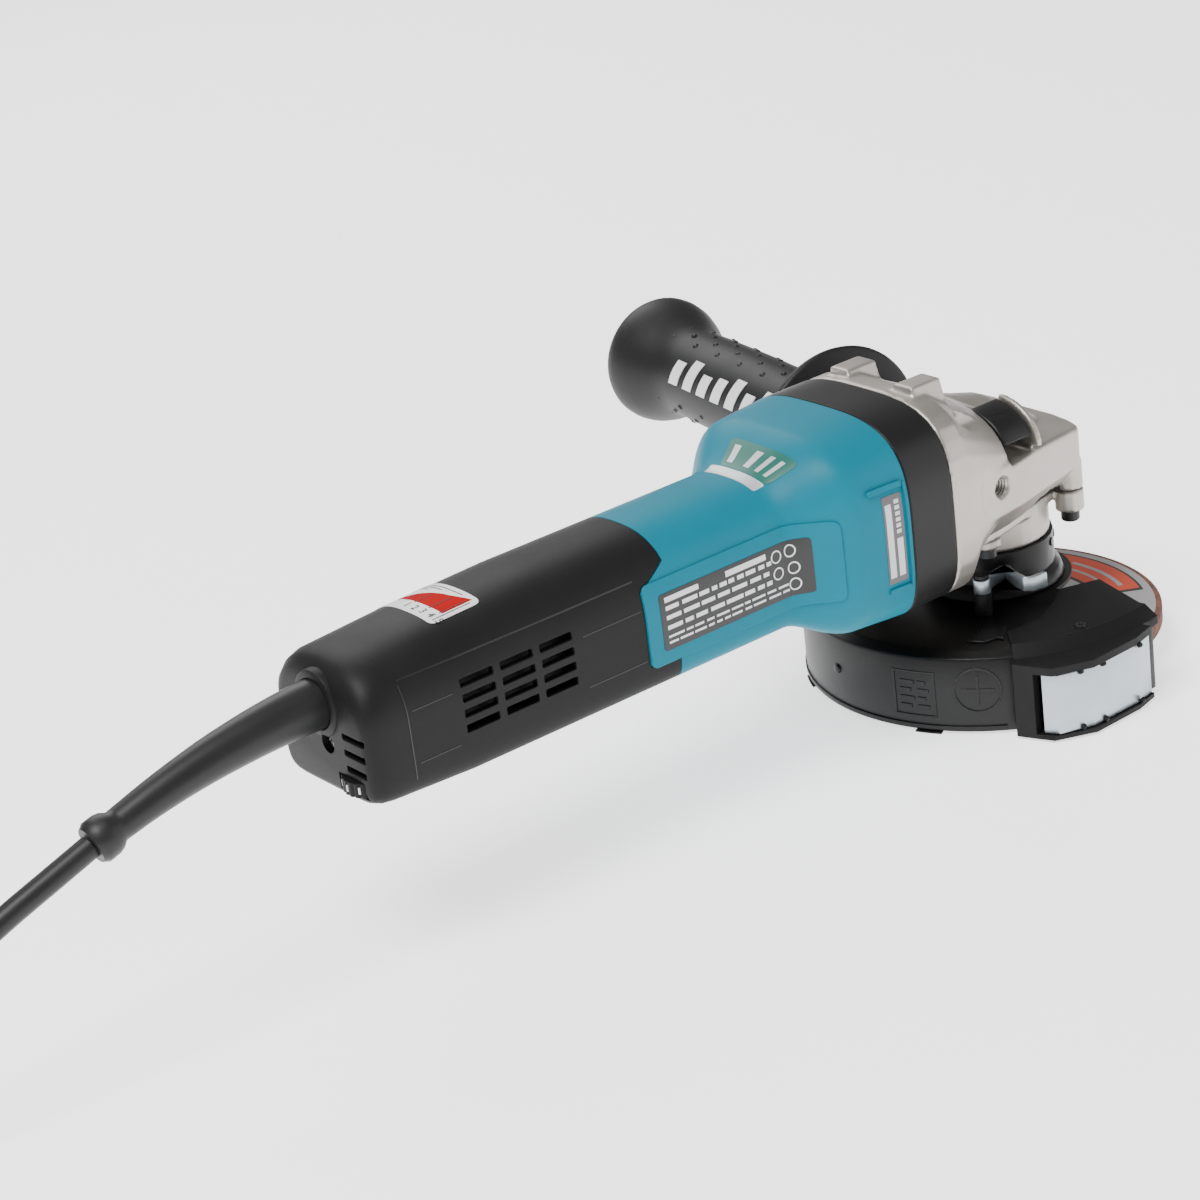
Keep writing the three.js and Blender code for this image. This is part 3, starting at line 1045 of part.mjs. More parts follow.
const cordRoute = [
  [-382.4, 0, CORD_EXIT_Z - 14.9], [-398, 0, 66.4], [-416, 0, 60.2], [-436, 0, 52], [-455, 0, 42.4],
  [-472, 0, 32.2], [-488, 0, 21.8],
  [-503, 0, 12.6], [-518, 0, 5], [-533, 0, 0.3], [-548, 0, CORD_LIE_Z], [-556, 0, CORD_LIE_Z],
  [-563.7, 0, CORD_LIE_Z],
];
const asCurve = (points) => new THREE.CatmullRomCurve3(points.map((point) => new THREE.Vector3(...point)));
add('cord', solid(sweep(asCurve(cordRoute), CORD_RADIUS, 30, 10)), RUBBER);

const coilInner = COIL_MEAN_RADIUS - COIL_COLUMNS * CORD_RADIUS;
const coilOuter = COIL_MEAN_RADIUS + COIL_COLUMNS * CORD_RADIUS;
const coilZ = [CORD_LIE_Z - CORD_RADIUS, CORD_LIE_Z - CORD_RADIUS + 2 * CORD_RADIUS * COIL_ROWS];
const tailY = COIL_CENTRE[1] + COIL_MEAN_RADIUS + (COIL_COLUMNS - 1) * CORD_RADIUS;
const plugZ = CORD_LIE_Z + 2.2;
const tailEnd = COIL_CENTRE[0] + 62;
const cordTail = [
  [COIL_CENTRE[0] + 4, tailY, CORD_LIE_Z + 0.4], [COIL_CENTRE[0] + 30, tailY, CORD_LIE_Z + 0.6],
  [tailEnd - 12, tailY, plugZ], [tailEnd, tailY, plugZ],
];
add('cord_coil', union(
  pipe(coilInner, coilOuter, coilZ, upright(...COIL_CENTRE), 48),
  solid(sweep(asCurve(cordTail), CORD_RADIUS, 8, 10)),
), RUBBER);
add('cord_tie', cut(
  block(
    [COIL_CENTRE[0] - coilOuter - 1.8, COIL_CENTRE[0] - coilInner + 1.8],
    [COIL_CENTRE[1] - 8, COIL_CENTRE[1] + 8],
    [coilZ[0], coilZ[1] + 1.8],
  ),
  pipe(coilInner - GAP, coilOuter + GAP, [coilZ[0] - 1, coilZ[1] + GAP], upright(...COIL_CENTRE), 48),
), BLACK_PLASTIC);

const plugX = tailEnd + GAP;
const plugAxis = lengthwise(tailY, plugZ);
add('plug', union(
  turned([[0, plugX], [5.4, plugX], [7, plugX + 14], [0, plugX + 14]], plugAxis, 20),
  loft([
    [plugX + 12, 8, 6.1], [plugX + 20, 15, 6.2], [plugX + 30, 18, 6.2], [plugX + PLUG_LENGTH, 18, 6.2],
  ].map(([x, halfWidth, halfHeight]) => Array.from({ length: 24 }, (unused, k) => {
    const turn = (2 * Math.PI * (k + 0.5)) / 24;
    const [c, s] = [Math.cos(turn), Math.sin(turn)];
    const y = tailY + Math.sign(c) * halfWidth * Math.abs(c) ** 0.6;
    const z = plugZ + Math.sign(s) * halfHeight * Math.abs(s) ** 0.6;
    return [x, y, z];
  }))),
), RUBBER);
for (const [name, side] of [['plug_pin_left', 1], ['plug_pin_right', -1]]) {
  const pinAxis = lengthwise(tailY + side * 9.5, plugZ);
  add(name, rod(2.4, [plugX + PLUG_LENGTH + GAP, plugX + PLUG_LENGTH + 19.3], pinAxis, 16), STEEL);
}

export default grinder;
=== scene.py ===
"""The looks of a corded angle grinder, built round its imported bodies.

Lengths in the classes are millimetres in the part's own frame: X along the motor towards the gear head,
Y towards the side handle, Z up along the spindle. Meshes are written in metres.
"""

from __future__ import annotations

import json
import logging
import math
import random
from dataclasses import dataclass, field
from enum import Enum
from typing import Sequence

import bmesh
import bpy
from mathutils import Matrix, Vector

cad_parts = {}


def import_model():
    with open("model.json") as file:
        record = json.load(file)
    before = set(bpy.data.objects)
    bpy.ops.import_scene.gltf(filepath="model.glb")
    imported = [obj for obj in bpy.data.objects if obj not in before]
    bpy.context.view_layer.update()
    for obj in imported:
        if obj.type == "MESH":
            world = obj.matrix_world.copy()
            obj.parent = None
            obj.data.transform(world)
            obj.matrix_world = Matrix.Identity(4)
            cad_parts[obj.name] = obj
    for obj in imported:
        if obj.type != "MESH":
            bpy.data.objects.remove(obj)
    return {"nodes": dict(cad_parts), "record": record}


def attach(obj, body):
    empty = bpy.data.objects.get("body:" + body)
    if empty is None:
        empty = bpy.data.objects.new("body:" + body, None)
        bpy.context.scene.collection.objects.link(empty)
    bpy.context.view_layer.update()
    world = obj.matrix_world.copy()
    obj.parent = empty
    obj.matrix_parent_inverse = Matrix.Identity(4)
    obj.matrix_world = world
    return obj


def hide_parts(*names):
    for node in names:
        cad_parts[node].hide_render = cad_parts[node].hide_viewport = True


LOG = logging.getLogger("grinder")
MM = 0.001
Point = tuple[float, float, float]
Ring = list[Vector]


# ------------------------------------------------------------------ materials


class Look(Enum):
    """How a finish catches the light."""

    MOULDED = "moulded"
    CAST = "cast"
    PLATED = "plated"
    PAINTED = "painted"
    RUBBERY = "rubbery"
    GRITTY = "gritty"
    PRINTED = "printed"


@dataclass(frozen=True)
class Finish:
    """One finish, with the sizes of its pattern in millimetres.

    Attributes:
        name: what the material is called.
        colour: linear colour.
        look: the family that it belongs to.
        roughness: middle value of the roughness.
        grain: size of the fine bumps.
        depth: strength of the fine bumps.
        blotch: how much the colour wanders, as a share of its brightness.
        metal: metalness.
        coat: clear coat over it.
        shine: strength of the mirror part, where 0.5 is plain plastic.
        glow: light of its own.
    """

    name: str
    colour: tuple[float, float, float]
    look: Look = Look.MOULDED
    roughness: float = 0.45
    grain: float = 0.5
    depth: float = 0.1
    blotch: float = 0.08
    metal: float = 0.0
    coat: float = 0.0
    shine: float = 0.5
    glow: float = 0.0

    def material(self) -> bpy.types.Material:
        """Builds the node material, or gives it back if it is already made.

        Returns:
            The material.
        """
        known = bpy.data.materials.get(self.name)
        if known:
            return known
        made = bpy.data.materials.new(self.name)
        made.use_nodes = True
        nodes, links = made.node_tree.nodes, made.node_tree.links
        nodes.clear()

        def add(kind: str, **values: object) -> bpy.types.Node:
            """Adds a node and sets its inputs, named with underscores for spaces."""
            node = nodes.new("ShaderNode" + kind)
            for key, value in values.items():
                node.inputs[key.replace("_", " ")].default_value = value
            return node

        shader = add("BsdfPrincipled", Metallic=self.metal, Coat_Weight=self.coat, Coat_Roughness=0.2,
                     Specular_IOR_Level=self.shine, Emission_Color=(1, 1, 1, 1), Emission_Strength=self.glow)
        links.new(shader.outputs[0], add("OutputMaterial").inputs[0])
        spot = add("TexCoord").outputs["Object"]
        gritty = self.look is Look.GRITTY

        wide = add("TexNoise", Scale=160.0 if gritty else 45.0, Detail=5.0)
        links.new(spot, wide.inputs["Vector"])
        ramp = add("ValToRGB")
        for end, at, share in zip(ramp.color_ramp.elements, (0.3, 0.7), (1 - self.blotch, 1 + self.blotch)):
            end.position = at
            end.color = (*(min(1.0, c * share) for c in self.colour), 1)
        links.new(wide.outputs["Fac"], ramp.inputs["Fac"])
        colour = ramp.outputs["Color"]

        cells = 1.0 / (self.grain * MM)
        if gritty:
            fine = add("TexVoronoi", Scale=cells)
            height = fine.outputs["Distance"]
            speck = nodes.new("ShaderNodeMix")
            speck.data_type = "RGBA"
            speck.blend_type = "MULTIPLY"
            speck.inputs["Factor"].default_value = 0.45
            links.new(colour, speck.inputs[6])
            links.new(fine.outputs["Color"], speck.inputs[7])
            colour = speck.outputs[2]
        else:
            fine = add("TexNoise", Scale=cells, Detail=3.0 if self.look is Look.CAST else 1.5)
            height = fine.outputs["Fac"]
        links.new(spot, fine.inputs["Vector"])
        links.new(colour, shader.inputs["Base Color"])

        rough = add("MapRange", To_Min=max(0.05, self.roughness - 0.07),
                    To_Max=min(1.0, self.roughness + 0.07))
        links.new(wide.outputs["Fac"], rough.inputs["Value"])
        links.new(rough.outputs["Result"], shader.inputs["Roughness"])

        bump = add("Bump", Strength=self.depth, Distance=0.3 * MM)
        links.new(height, bump.inputs["Height"])
        if self.look in (Look.MOULDED, Look.CAST, Look.PAINTED, Look.PLATED):
            soft = add("Bevel", Radius=0.35 * MM)
            soft.samples = 4
            links.new(soft.outputs["Normal"], bump.inputs["Normal"])
        links.new(bump.outputs["Normal"], shader.inputs["Normal"])
        return made


TEAL = Finish("teal moulding", (0.0, 0.16, 0.23), roughness=0.42, grain=0.45, depth=0.06, blotch=0.03,
              shine=0.12)
CHARCOAL = Finish("charcoal moulding", (0.009, 0.0085, 0.009), roughness=0.5, grain=0.4, depth=0.16,
                  blotch=0.1, shine=0.16)
BAND = Finish("black band moulding", (0.009, 0.0085, 0.009), roughness=0.42, grain=0.4, depth=0.1,
              blotch=0.08, shine=0.25)
CAST = Finish("cast aluminium", (0.44, 0.41, 0.375), Look.CAST, 0.42, 0.55, 0.28, 0.07, metal=0.85)
ZINC = Finish("zinc plate", (0.42, 0.47, 0.5), Look.PLATED, 0.3, 0.8, 0.05, 0.08, metal=0.8)
POWDER = Finish("black powder coat", (0.005, 0.0048, 0.005), Look.PAINTED, 0.36, 0.6, 0.16, 0.1, shine=0.3)
OXIDE = Finish("black oxide", (0.01, 0.01, 0.011), Look.PAINTED, 0.34, 0.5, 0.1, 0.12, metal=0.35)
STEEL = Finish("ground steel", (0.42, 0.42, 0.43), Look.PLATED, 0.3, 0.4, 0.08, 0.06, metal=1.0)
SOFT = Finish("soft grip rubber", (0.008, 0.008, 0.0085), Look.RUBBERY, 0.5, 0.5, 0.14, 0.1, shine=0.3)
FLEX = Finish("cord jacket", (0.011, 0.011, 0.0115), Look.RUBBERY, 0.42, 0.7, 0.08, 0.1, shine=0.3)
GRIT = Finish("bonded grit", (0.2, 0.085, 0.06), Look.GRITTY, 0.92, 0.75, 0.9, 0.25)
WHEEL_PAPER = Finish("wheel paper", (0.3, 0.29, 0.29), Look.PRINTED, 0.75, 0.8, 0.3, 0.1)
WARM_PRINT = Finish("warm print", (0.5, 0.06, 0.025), Look.PRINTED, 0.7, 0.8, 0.25, 0.08)
DARK_PRINT = Finish("dark print", (0.03, 0.026, 0.025), Look.PRINTED, 0.7, 0.8, 0.2, 0.08)
LABEL_GREY = Finish("label grey", (0.1, 0.09, 0.1), Look.PRINTED, 0.4, 1.2, 0.02, 0.04)
LABEL_BLACK = Finish("label black", (0.008, 0.008, 0.009), Look.PRINTED, 0.35, 1.2, 0.03, 0.05)
LABEL_WHITE = Finish("label white", (0.72, 0.72, 0.72), Look.PRINTED, 0.4, 1.2, 0.02, 0.02)
LABEL_SILVER = Finish("label silver", (0.55, 0.57, 0.58), Look.PRINTED, 0.35, 1.2, 0.02, 0.04, metal=0.3)
LABEL_GREEN = Finish("label green", (0.005, 0.12, 0.09), Look.PRINTED, 0.35, 1.2, 0.02, 0.04)
LABEL_RED = Finish("label red", (0.36, 0.001, 0.001), Look.PRINTED, 0.6, 1.2, 0.02, 0.04, shine=0.05)
COPPER = Finish("enamelled copper", (0.5, 0.2, 0.09), Look.PLATED, 0.35, 0.5, 0.1, 0.1, metal=0.8)
PALE_FLOOR = Finish("pale floor", (0.86, 0.86, 0.86), Look.PRINTED, 0.75, 4.0, 0.02, 0.01, glow=1.5)


# ------------------------------------------------------------------ meshes


def added(name: str, data: bpy.types.ID) -> bpy.types.Object:
    """Adds an object to the scene.

    Args:
        name: its name.
        data: its mesh, curve, light or camera.

    Returns:
        The object.
    """
    thing = bpy.data.objects.new(name, data)
    bpy.context.collection.objects.link(thing)
    return thing


@dataclass
class Piece:
    """A mesh under construction, in millimetres.

    Attributes:
        name: the name of the finished object.
        corners: vertices.
        faces: vertex numbers of each face, turning so that they face outwards.
    """

    name: str
    corners: list[Vector] = field(default_factory=list)
    faces: list[tuple[int, ...]] = field(default_factory=list)

    def loft(self, rings: Sequence[Ring], closed: bool = False) -> "Piece":
        """Skins a row of rings, with flat ends unless the row closes on itself.

        Args:
            rings: rings with the same number of points.
            closed: whether the last ring joins the first.

        Returns:
            The piece itself.
        """
        first, count = len(self.corners), len(rings[0])
        for ring in rings:
            self.corners.extend(ring)
        total = len(rings)
        for r in range(total if closed else total - 1):
            for k in range(count):
                a, b = first + r * count + k, first + r * count + (k + 1) % count
                nxt = ((r + 1) % total) * count
                self.faces.append((a, b, first + nxt + (k + 1) % count, first + nxt + k))
        if not closed:
            self.faces.append(tuple(first + k for k in reversed(range(count))))
            self.faces.append(tuple(first + (total - 1) * count + k for k in range(count)))
        return self

    def lathe(self, profile: Sequence[tuple[float, float]], axis: Matrix, sides: int = 96,
              arc: tuple[float, float] | None = None) -> "Piece":
        """Turns a closed profile of (radius, distance along) about an axis.

        Args:
            profile: the outline, which closes on itself.
            axis: takes Z to the axis.
            sides: facets in a full turn.
            arc: first and last angle in degrees, or None for a full turn.

        Returns:
            The piece itself.
        """
        start, stop = arc or (0.0, 360.0)
        steps = max(2, round(sides * (stop - start) / 360))
        rings = []
        for k in range(steps + (1 if arc else 0)):
            turn = math.radians(start + (stop - start) * k / steps)
            rings.append([axis @ Vector((r * math.cos(turn), r * math.sin(turn), z)) for r, z in profile])
        return self.loft(rings, closed=arc is None)

    def prism(self, outline: Sequence[tuple[float, float]], low: float, high: float) -> "Piece":
        """Raises an outline in the XY plane.

        Args:
            outline: corners in order.
            low: bottom.
            high: top.

        Returns:
            The piece itself.
        """
        return self.loft([[Vector((x, y, z)) for x, y in outline] for z in (low, high)])

    def sheet(self, rows: Sequence[Sequence[tuple[Vector, Vector]]], thickness: float) -> "Piece":
        """Makes a thin closed skin from rows of points with their outward directions.

        Args:
            rows: rows of (point on the top face, outward direction).
            thickness: how far the under face lies below.

        Returns:
            The piece itself.
        """
        first, wide, high = len(self.corners), len(rows[0]), len(rows)
        for depth in (0.0, thickness):
            for row in rows:
                self.corners.extend(p - n * depth for p, n in row)
        under = wide * high
        for j in range(high - 1):
            for i in range(wide - 1):
                a = first + j * wide + i
                quad = (a, a + 1, a + wide + 1, a + wide)
                self.faces.append(quad)
                self.faces.append(tuple(v + under for v in reversed(quad)))
        rim = [*range(wide), *(j * wide + wide - 1 for j in range(1, high))]
        rim += [(high - 1) * wide + i for i in reversed(range(wide - 1))]
        rim += [j * wide for j in reversed(range(1, high - 1))]
        for k, a in enumerate(rim):
            b = rim[(k + 1) % len(rim)]
            self.faces.append((first + b, first + a, first + a + under, first + b + under))
        return self

    def build(self, finish: Finish, smooth: float = 35.0) -> bpy.types.Object:
        """Makes the Blender object, in metres, with its faces turned outwards.

        Args:
            finish: its finish.
            smooth: edges sharper than this many degrees stay sharp.

        Returns:
            The object.
        """
        mesh = bpy.data.meshes.new(self.name)
        mesh.from_pydata([c * MM for c in self.corners], [], self.faces)
        return Bench.tidy(added(self.name, mesh), finish, smooth)


class Bench:
    """Work done on finished meshes."""

    @staticmethod
    def tidy(thing: bpy.types.Object, finish: Finish, smooth: float = 35.0) -> bpy.types.Object:
        """Merges doubles, turns the faces outwards, sets the finish and the smoothing.

        Args:
            thing: the object.
            finish: its finish.
            smooth: edges sharper than this many degrees stay sharp.

        Returns:
            The object.
        """
        shape = bmesh.new()
        shape.from_mesh(thing.data)
        bmesh.ops.remove_doubles(shape, verts=shape.verts, dist=0.002 * MM)
        bmesh.ops.recalc_face_normals(shape, faces=shape.faces)
        for face in shape.faces:
            face.smooth = True
        limit = math.radians(smooth)
        for edge in shape.edges:
            edge.smooth = len(edge.link_faces) == 2 and edge.calc_face_angle(0.0) < limit
        shape.to_mesh(thing.data)
        shape.free()
        thing.data.materials.clear()
        thing.data.materials.append(finish.material())
        return thing

    @staticmethod
    def apply(thing: bpy.types.Object) -> bpy.types.Object:
        """Turns the object's modifiers into its plain mesh.

        Args:
            thing: the object.

        Returns:
            The object.
        """
        graph = bpy.context.evaluated_depsgraph_get()
        graph.update()
        plain = bpy.data.meshes.new_from_object(thing.evaluated_get(graph))
        thing.modifiers.clear()
        thing.data = plain
        return thing

    @classmethod
    def carve(cls, thing: bpy.types.Object, tools: Sequence[bpy.types.Object],
              way: str = "DIFFERENCE") -> bpy.types.Object:
        """Cuts tools out of an object, joins them to it or keeps the common part, and deletes the tools.

        Args:
            thing: the object.
            tools: closed meshes.
            way: the boolean's operation.

        Returns:
            The object.
        """
        for tool in tools:
            step = thing.modifiers.new("carve", "BOOLEAN")
            step.operation = way
            step.solver = "EXACT"
            step.object = tool
        cls.apply(thing)
        for tool in tools:
            bpy.data.objects.remove(tool, do_unlink=True)
        return thing

    @classmethod
    def round_edges(cls, thing: bpy.types.Object, width: float, angle: float = 40.0,
                    segments: int = 2) -> bpy.types.Object:
        """Rounds the sharp edges.

        Args:
            thing: the object.
            width: in millimetres.
            angle: edges sharper than this many degrees are rounded.
            segments: facets across each edge.

        Returns:
            The object.
        """
        step = thing.modifiers.new("round", "BEVEL")
        step.width = width * MM
        step.segments = segments
        step.limit_method = "ANGLE"
        step.angle_limit = math.radians(angle)
        step.harden_normals = False
        return cls.apply(thing)

    @classmethod
    def melt(cls, thing: bpy.types.Object, voxel: float, rounds: int) -> bpy.types.Object:
        """Gives a body the soft edges of a casting.

        Args:
            thing: the object.
            voxel: size of the new mesh's cells in millimetres.
            rounds: how often it is smoothed.

        Returns:
            The object.
        """
        step = thing.modifiers.new("cells", "REMESH")
        step.mode = "VOXEL"
        step.voxel_size = voxel * MM
        step.use_smooth_shade = True
        ease = thing.modifiers.new("ease", "SMOOTH")
        ease.iterations = rounds
        ease.factor = 0.5
        return cls.apply(thing)


def copy_of(node: str, name: str) -> bpy.types.Object:
    """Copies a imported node's mesh into a new object with its doubles merged.

    Args:
        node: the node's name.
        name: the new object's name.

    Returns:
        The new object.
    """
    source = FRAME["nodes"][node]
    mesh = source.data.copy()
    thing = added(name, mesh)
    thing.data.transform(source.matrix_world)
    shape = bmesh.new()
    shape.from_mesh(mesh)
    bmesh.ops.remove_doubles(shape, verts=shape.verts, dist=0.002 * MM)
    bmesh.ops.dissolve_limit(shape, angle_limit=math.radians(0.5), verts=shape.verts, edges=shape.edges)
    shape.to_mesh(mesh)
    shape.free()
    return thing


def place(thing: bpy.types.Object, body: str, slot: str, *nodes: str) -> bpy.types.Object:
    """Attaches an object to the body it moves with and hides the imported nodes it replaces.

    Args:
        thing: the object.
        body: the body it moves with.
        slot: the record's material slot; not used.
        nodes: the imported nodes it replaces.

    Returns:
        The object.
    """
    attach(thing, body)
    if nodes:
        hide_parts(*nodes)
    LOG.info("%s rides on %s", thing.name, body)
    return thing


def block(name: str, x: tuple[float, float], y: tuple[float, float],
          z: tuple[float, float]) -> bpy.types.Object:
    """A box used as a cutting tool.

    Args:
        name: its name.
        x: its span along X.
        y: its span along Y.
        z: its span along Z.

    Returns:
        The object.
    """
    return Piece(name).prism([(x[0], y[0]), (x[1], y[0]), (x[1], y[1]), (x[0], y[1])], *z).build(POWDER)


def axis_at(point: Point, direction: Point) -> Matrix:
    """A frame whose Z runs along a direction from a point.

    Args:
        point: the origin, in millimetres.
        direction: where Z points.

    Returns:
        The matrix.
    """
    turn = Vector((0, 0, 1)).rotation_difference(Vector(direction).normalized())
    return Matrix.Translation(Vector(point)) @ turn.to_matrix().to_4x4()


UP = axis_at((0, 0, 0), (0, 0, 1))


def spoke(turn: float) -> Vector:
    """The level unit vector at an angle from +X.

    Args:
        turn: the angle in radians.

    Returns:
        The vector.
    """
    return Vector((math.cos(turn), math.sin(turn), 0))


def rod(name: str, radius: float, span: tuple[float, float], axis: Matrix,
        sides: int = 32) -> bpy.types.Object:
    """A round bar, used as a cutting tool or joined to a body.

    Args:
        name: its name.
        radius: its radius.
        span: its two ends along the axis.
        axis: takes Z to the axis.
        sides: facets round it.

    Returns:
        The object.
    """
    low, high = span
    profile = [(0.01, low), (radius, low), (radius, high), (0.01, high)]
    return Piece(name).lathe(profile, axis, sides).build(CHARCOAL)


@dataclass
class Repeater:
    """Sets one small shape on many points with Geometry Nodes, aimed along each point's own direction.

    Attributes:
        name: the tree's name.
        sides: facets round the small shape.
        finish: its finish.
    """

    name: str
    sides: int
    finish: Finish

    def _tree(self) -> tuple[bpy.types.NodeTree, dict[str, str]]:
        """Builds the node tree.

        Returns:
            The tree, and the identifiers of its inputs by name.
        """
        tree = bpy.data.node_groups.new(self.name, "GeometryNodeTree")
        face = tree.interface
        face.new_socket("Points", in_out="INPUT", socket_type="NodeSocketGeometry")
        keys = {}
        for label in ("Foot radius", "Top radius", "Height"):
            keys[label] = face.new_socket(label, in_out="INPUT", socket_type="NodeSocketFloat").identifier
        face.new_socket("Geometry", in_out="OUTPUT", socket_type="NodeSocketGeometry")
        nodes, links = tree.nodes, tree.links
        given, result = nodes.new("NodeGroupInput"), nodes.new("NodeGroupOutput")
        stud = nodes.new("GeometryNodeMeshCone")
        stud.inputs["Vertices"].default_value = self.sides
        aim = nodes.new("GeometryNodeInputNamedAttribute")
        aim.data_type = "FLOAT_VECTOR"
        aim.inputs["Name"].default_value = "aim"
        turn = nodes.new("FunctionNodeAlignRotationToVector")
        turn.axis = "Z"
        put = nodes.new("GeometryNodeInstanceOnPoints")
        real = nodes.new("GeometryNodeRealizeInstances")
        dress = nodes.new("GeometryNodeSetMaterial")
        dress.inputs["Material"].default_value = self.finish.material()
        for source, output, target, entry in (
            (given, "Foot radius", stud, "Radius Bottom"), (given, "Top radius", stud, "Radius Top"),
            (given, "Height", stud, "Depth"), (aim, "Attribute", turn, "Vector"),
            (given, "Points", put, "Points"), (stud, "Mesh", put, "Instance"),
            (turn, "Rotation", put, "Rotation"), (put, "Instances", real, "Geometry"),
            (real, "Geometry", dress, "Geometry"), (dress, "Geometry", result, "Geometry"),
        ):
            links.new(source.outputs[output], target.inputs[entry])
        return tree, keys

    def make(self, name: str, points: Sequence[tuple[Vector, Vector]], foot: float, top: float,
             height: float) -> bpy.types.Object:
        """Makes the repeated shape as one plain mesh.

        Args:
            name: the object's name.
            points: places and directions, in millimetres.
            foot: radius at the foot.
            top: radius at the top.
            height: height.

        Returns:
            The object.
        """
        cloud = bpy.data.meshes.new(name)
        cloud.from_pydata([p * MM for p, _ in points], [], [])
        aims = cloud.attributes.new("aim", "FLOAT_VECTOR", "POINT")
        for k, (_, direction) in enumerate(points):
            aims.data[k].vector = direction
        thing = added(name, cloud)
        tree, keys = self._tree()
        step = thing.modifiers.new("repeat", "NODES")
        step.node_group = tree
        step[keys["Foot radius"]] = foot * MM
        step[keys["Top radius"]] = top * MM
        step[keys["Height"]] = height * MM
        return Bench.tidy(Bench.apply(thing), self.finish)


def rounded_rows(width: float, height: float, corner: float, nu: int = 10,
                 nv: int = 10) -> list[list[tuple[float, float]]]:
    """Rows of points that fill a rectangle with round corners.

    Args:
        width: along the first direction.
        height: along the second.
        corner: radius of the corners.
        nu: cells along a row.
        nv: rows between the corners.

    Returns:
        Rows of (first, second), from 0 to width and 0 to height.
    """
    steps = [0.0, 0.08, 0.2, 0.4, 0.7, 1.0] if corner > 0 else [0.0]
    levels = [(corner * s, corner - math.sqrt(max(0.0, 1 - (1 - s) ** 2)) * corner) for s in steps]
    inner = [(corner + (height - 2 * corner) * k / nv, 0.0) for k in range(1, nv)]
    rows = levels + inner + [(height - v, cut) for v, cut in reversed(levels)]
    return [[(cut + (width - 2 * cut) * i / nu, v) for i in range(nu + 1)] for v, cut in rows]


# ------------------------------------------------------------------ motor body


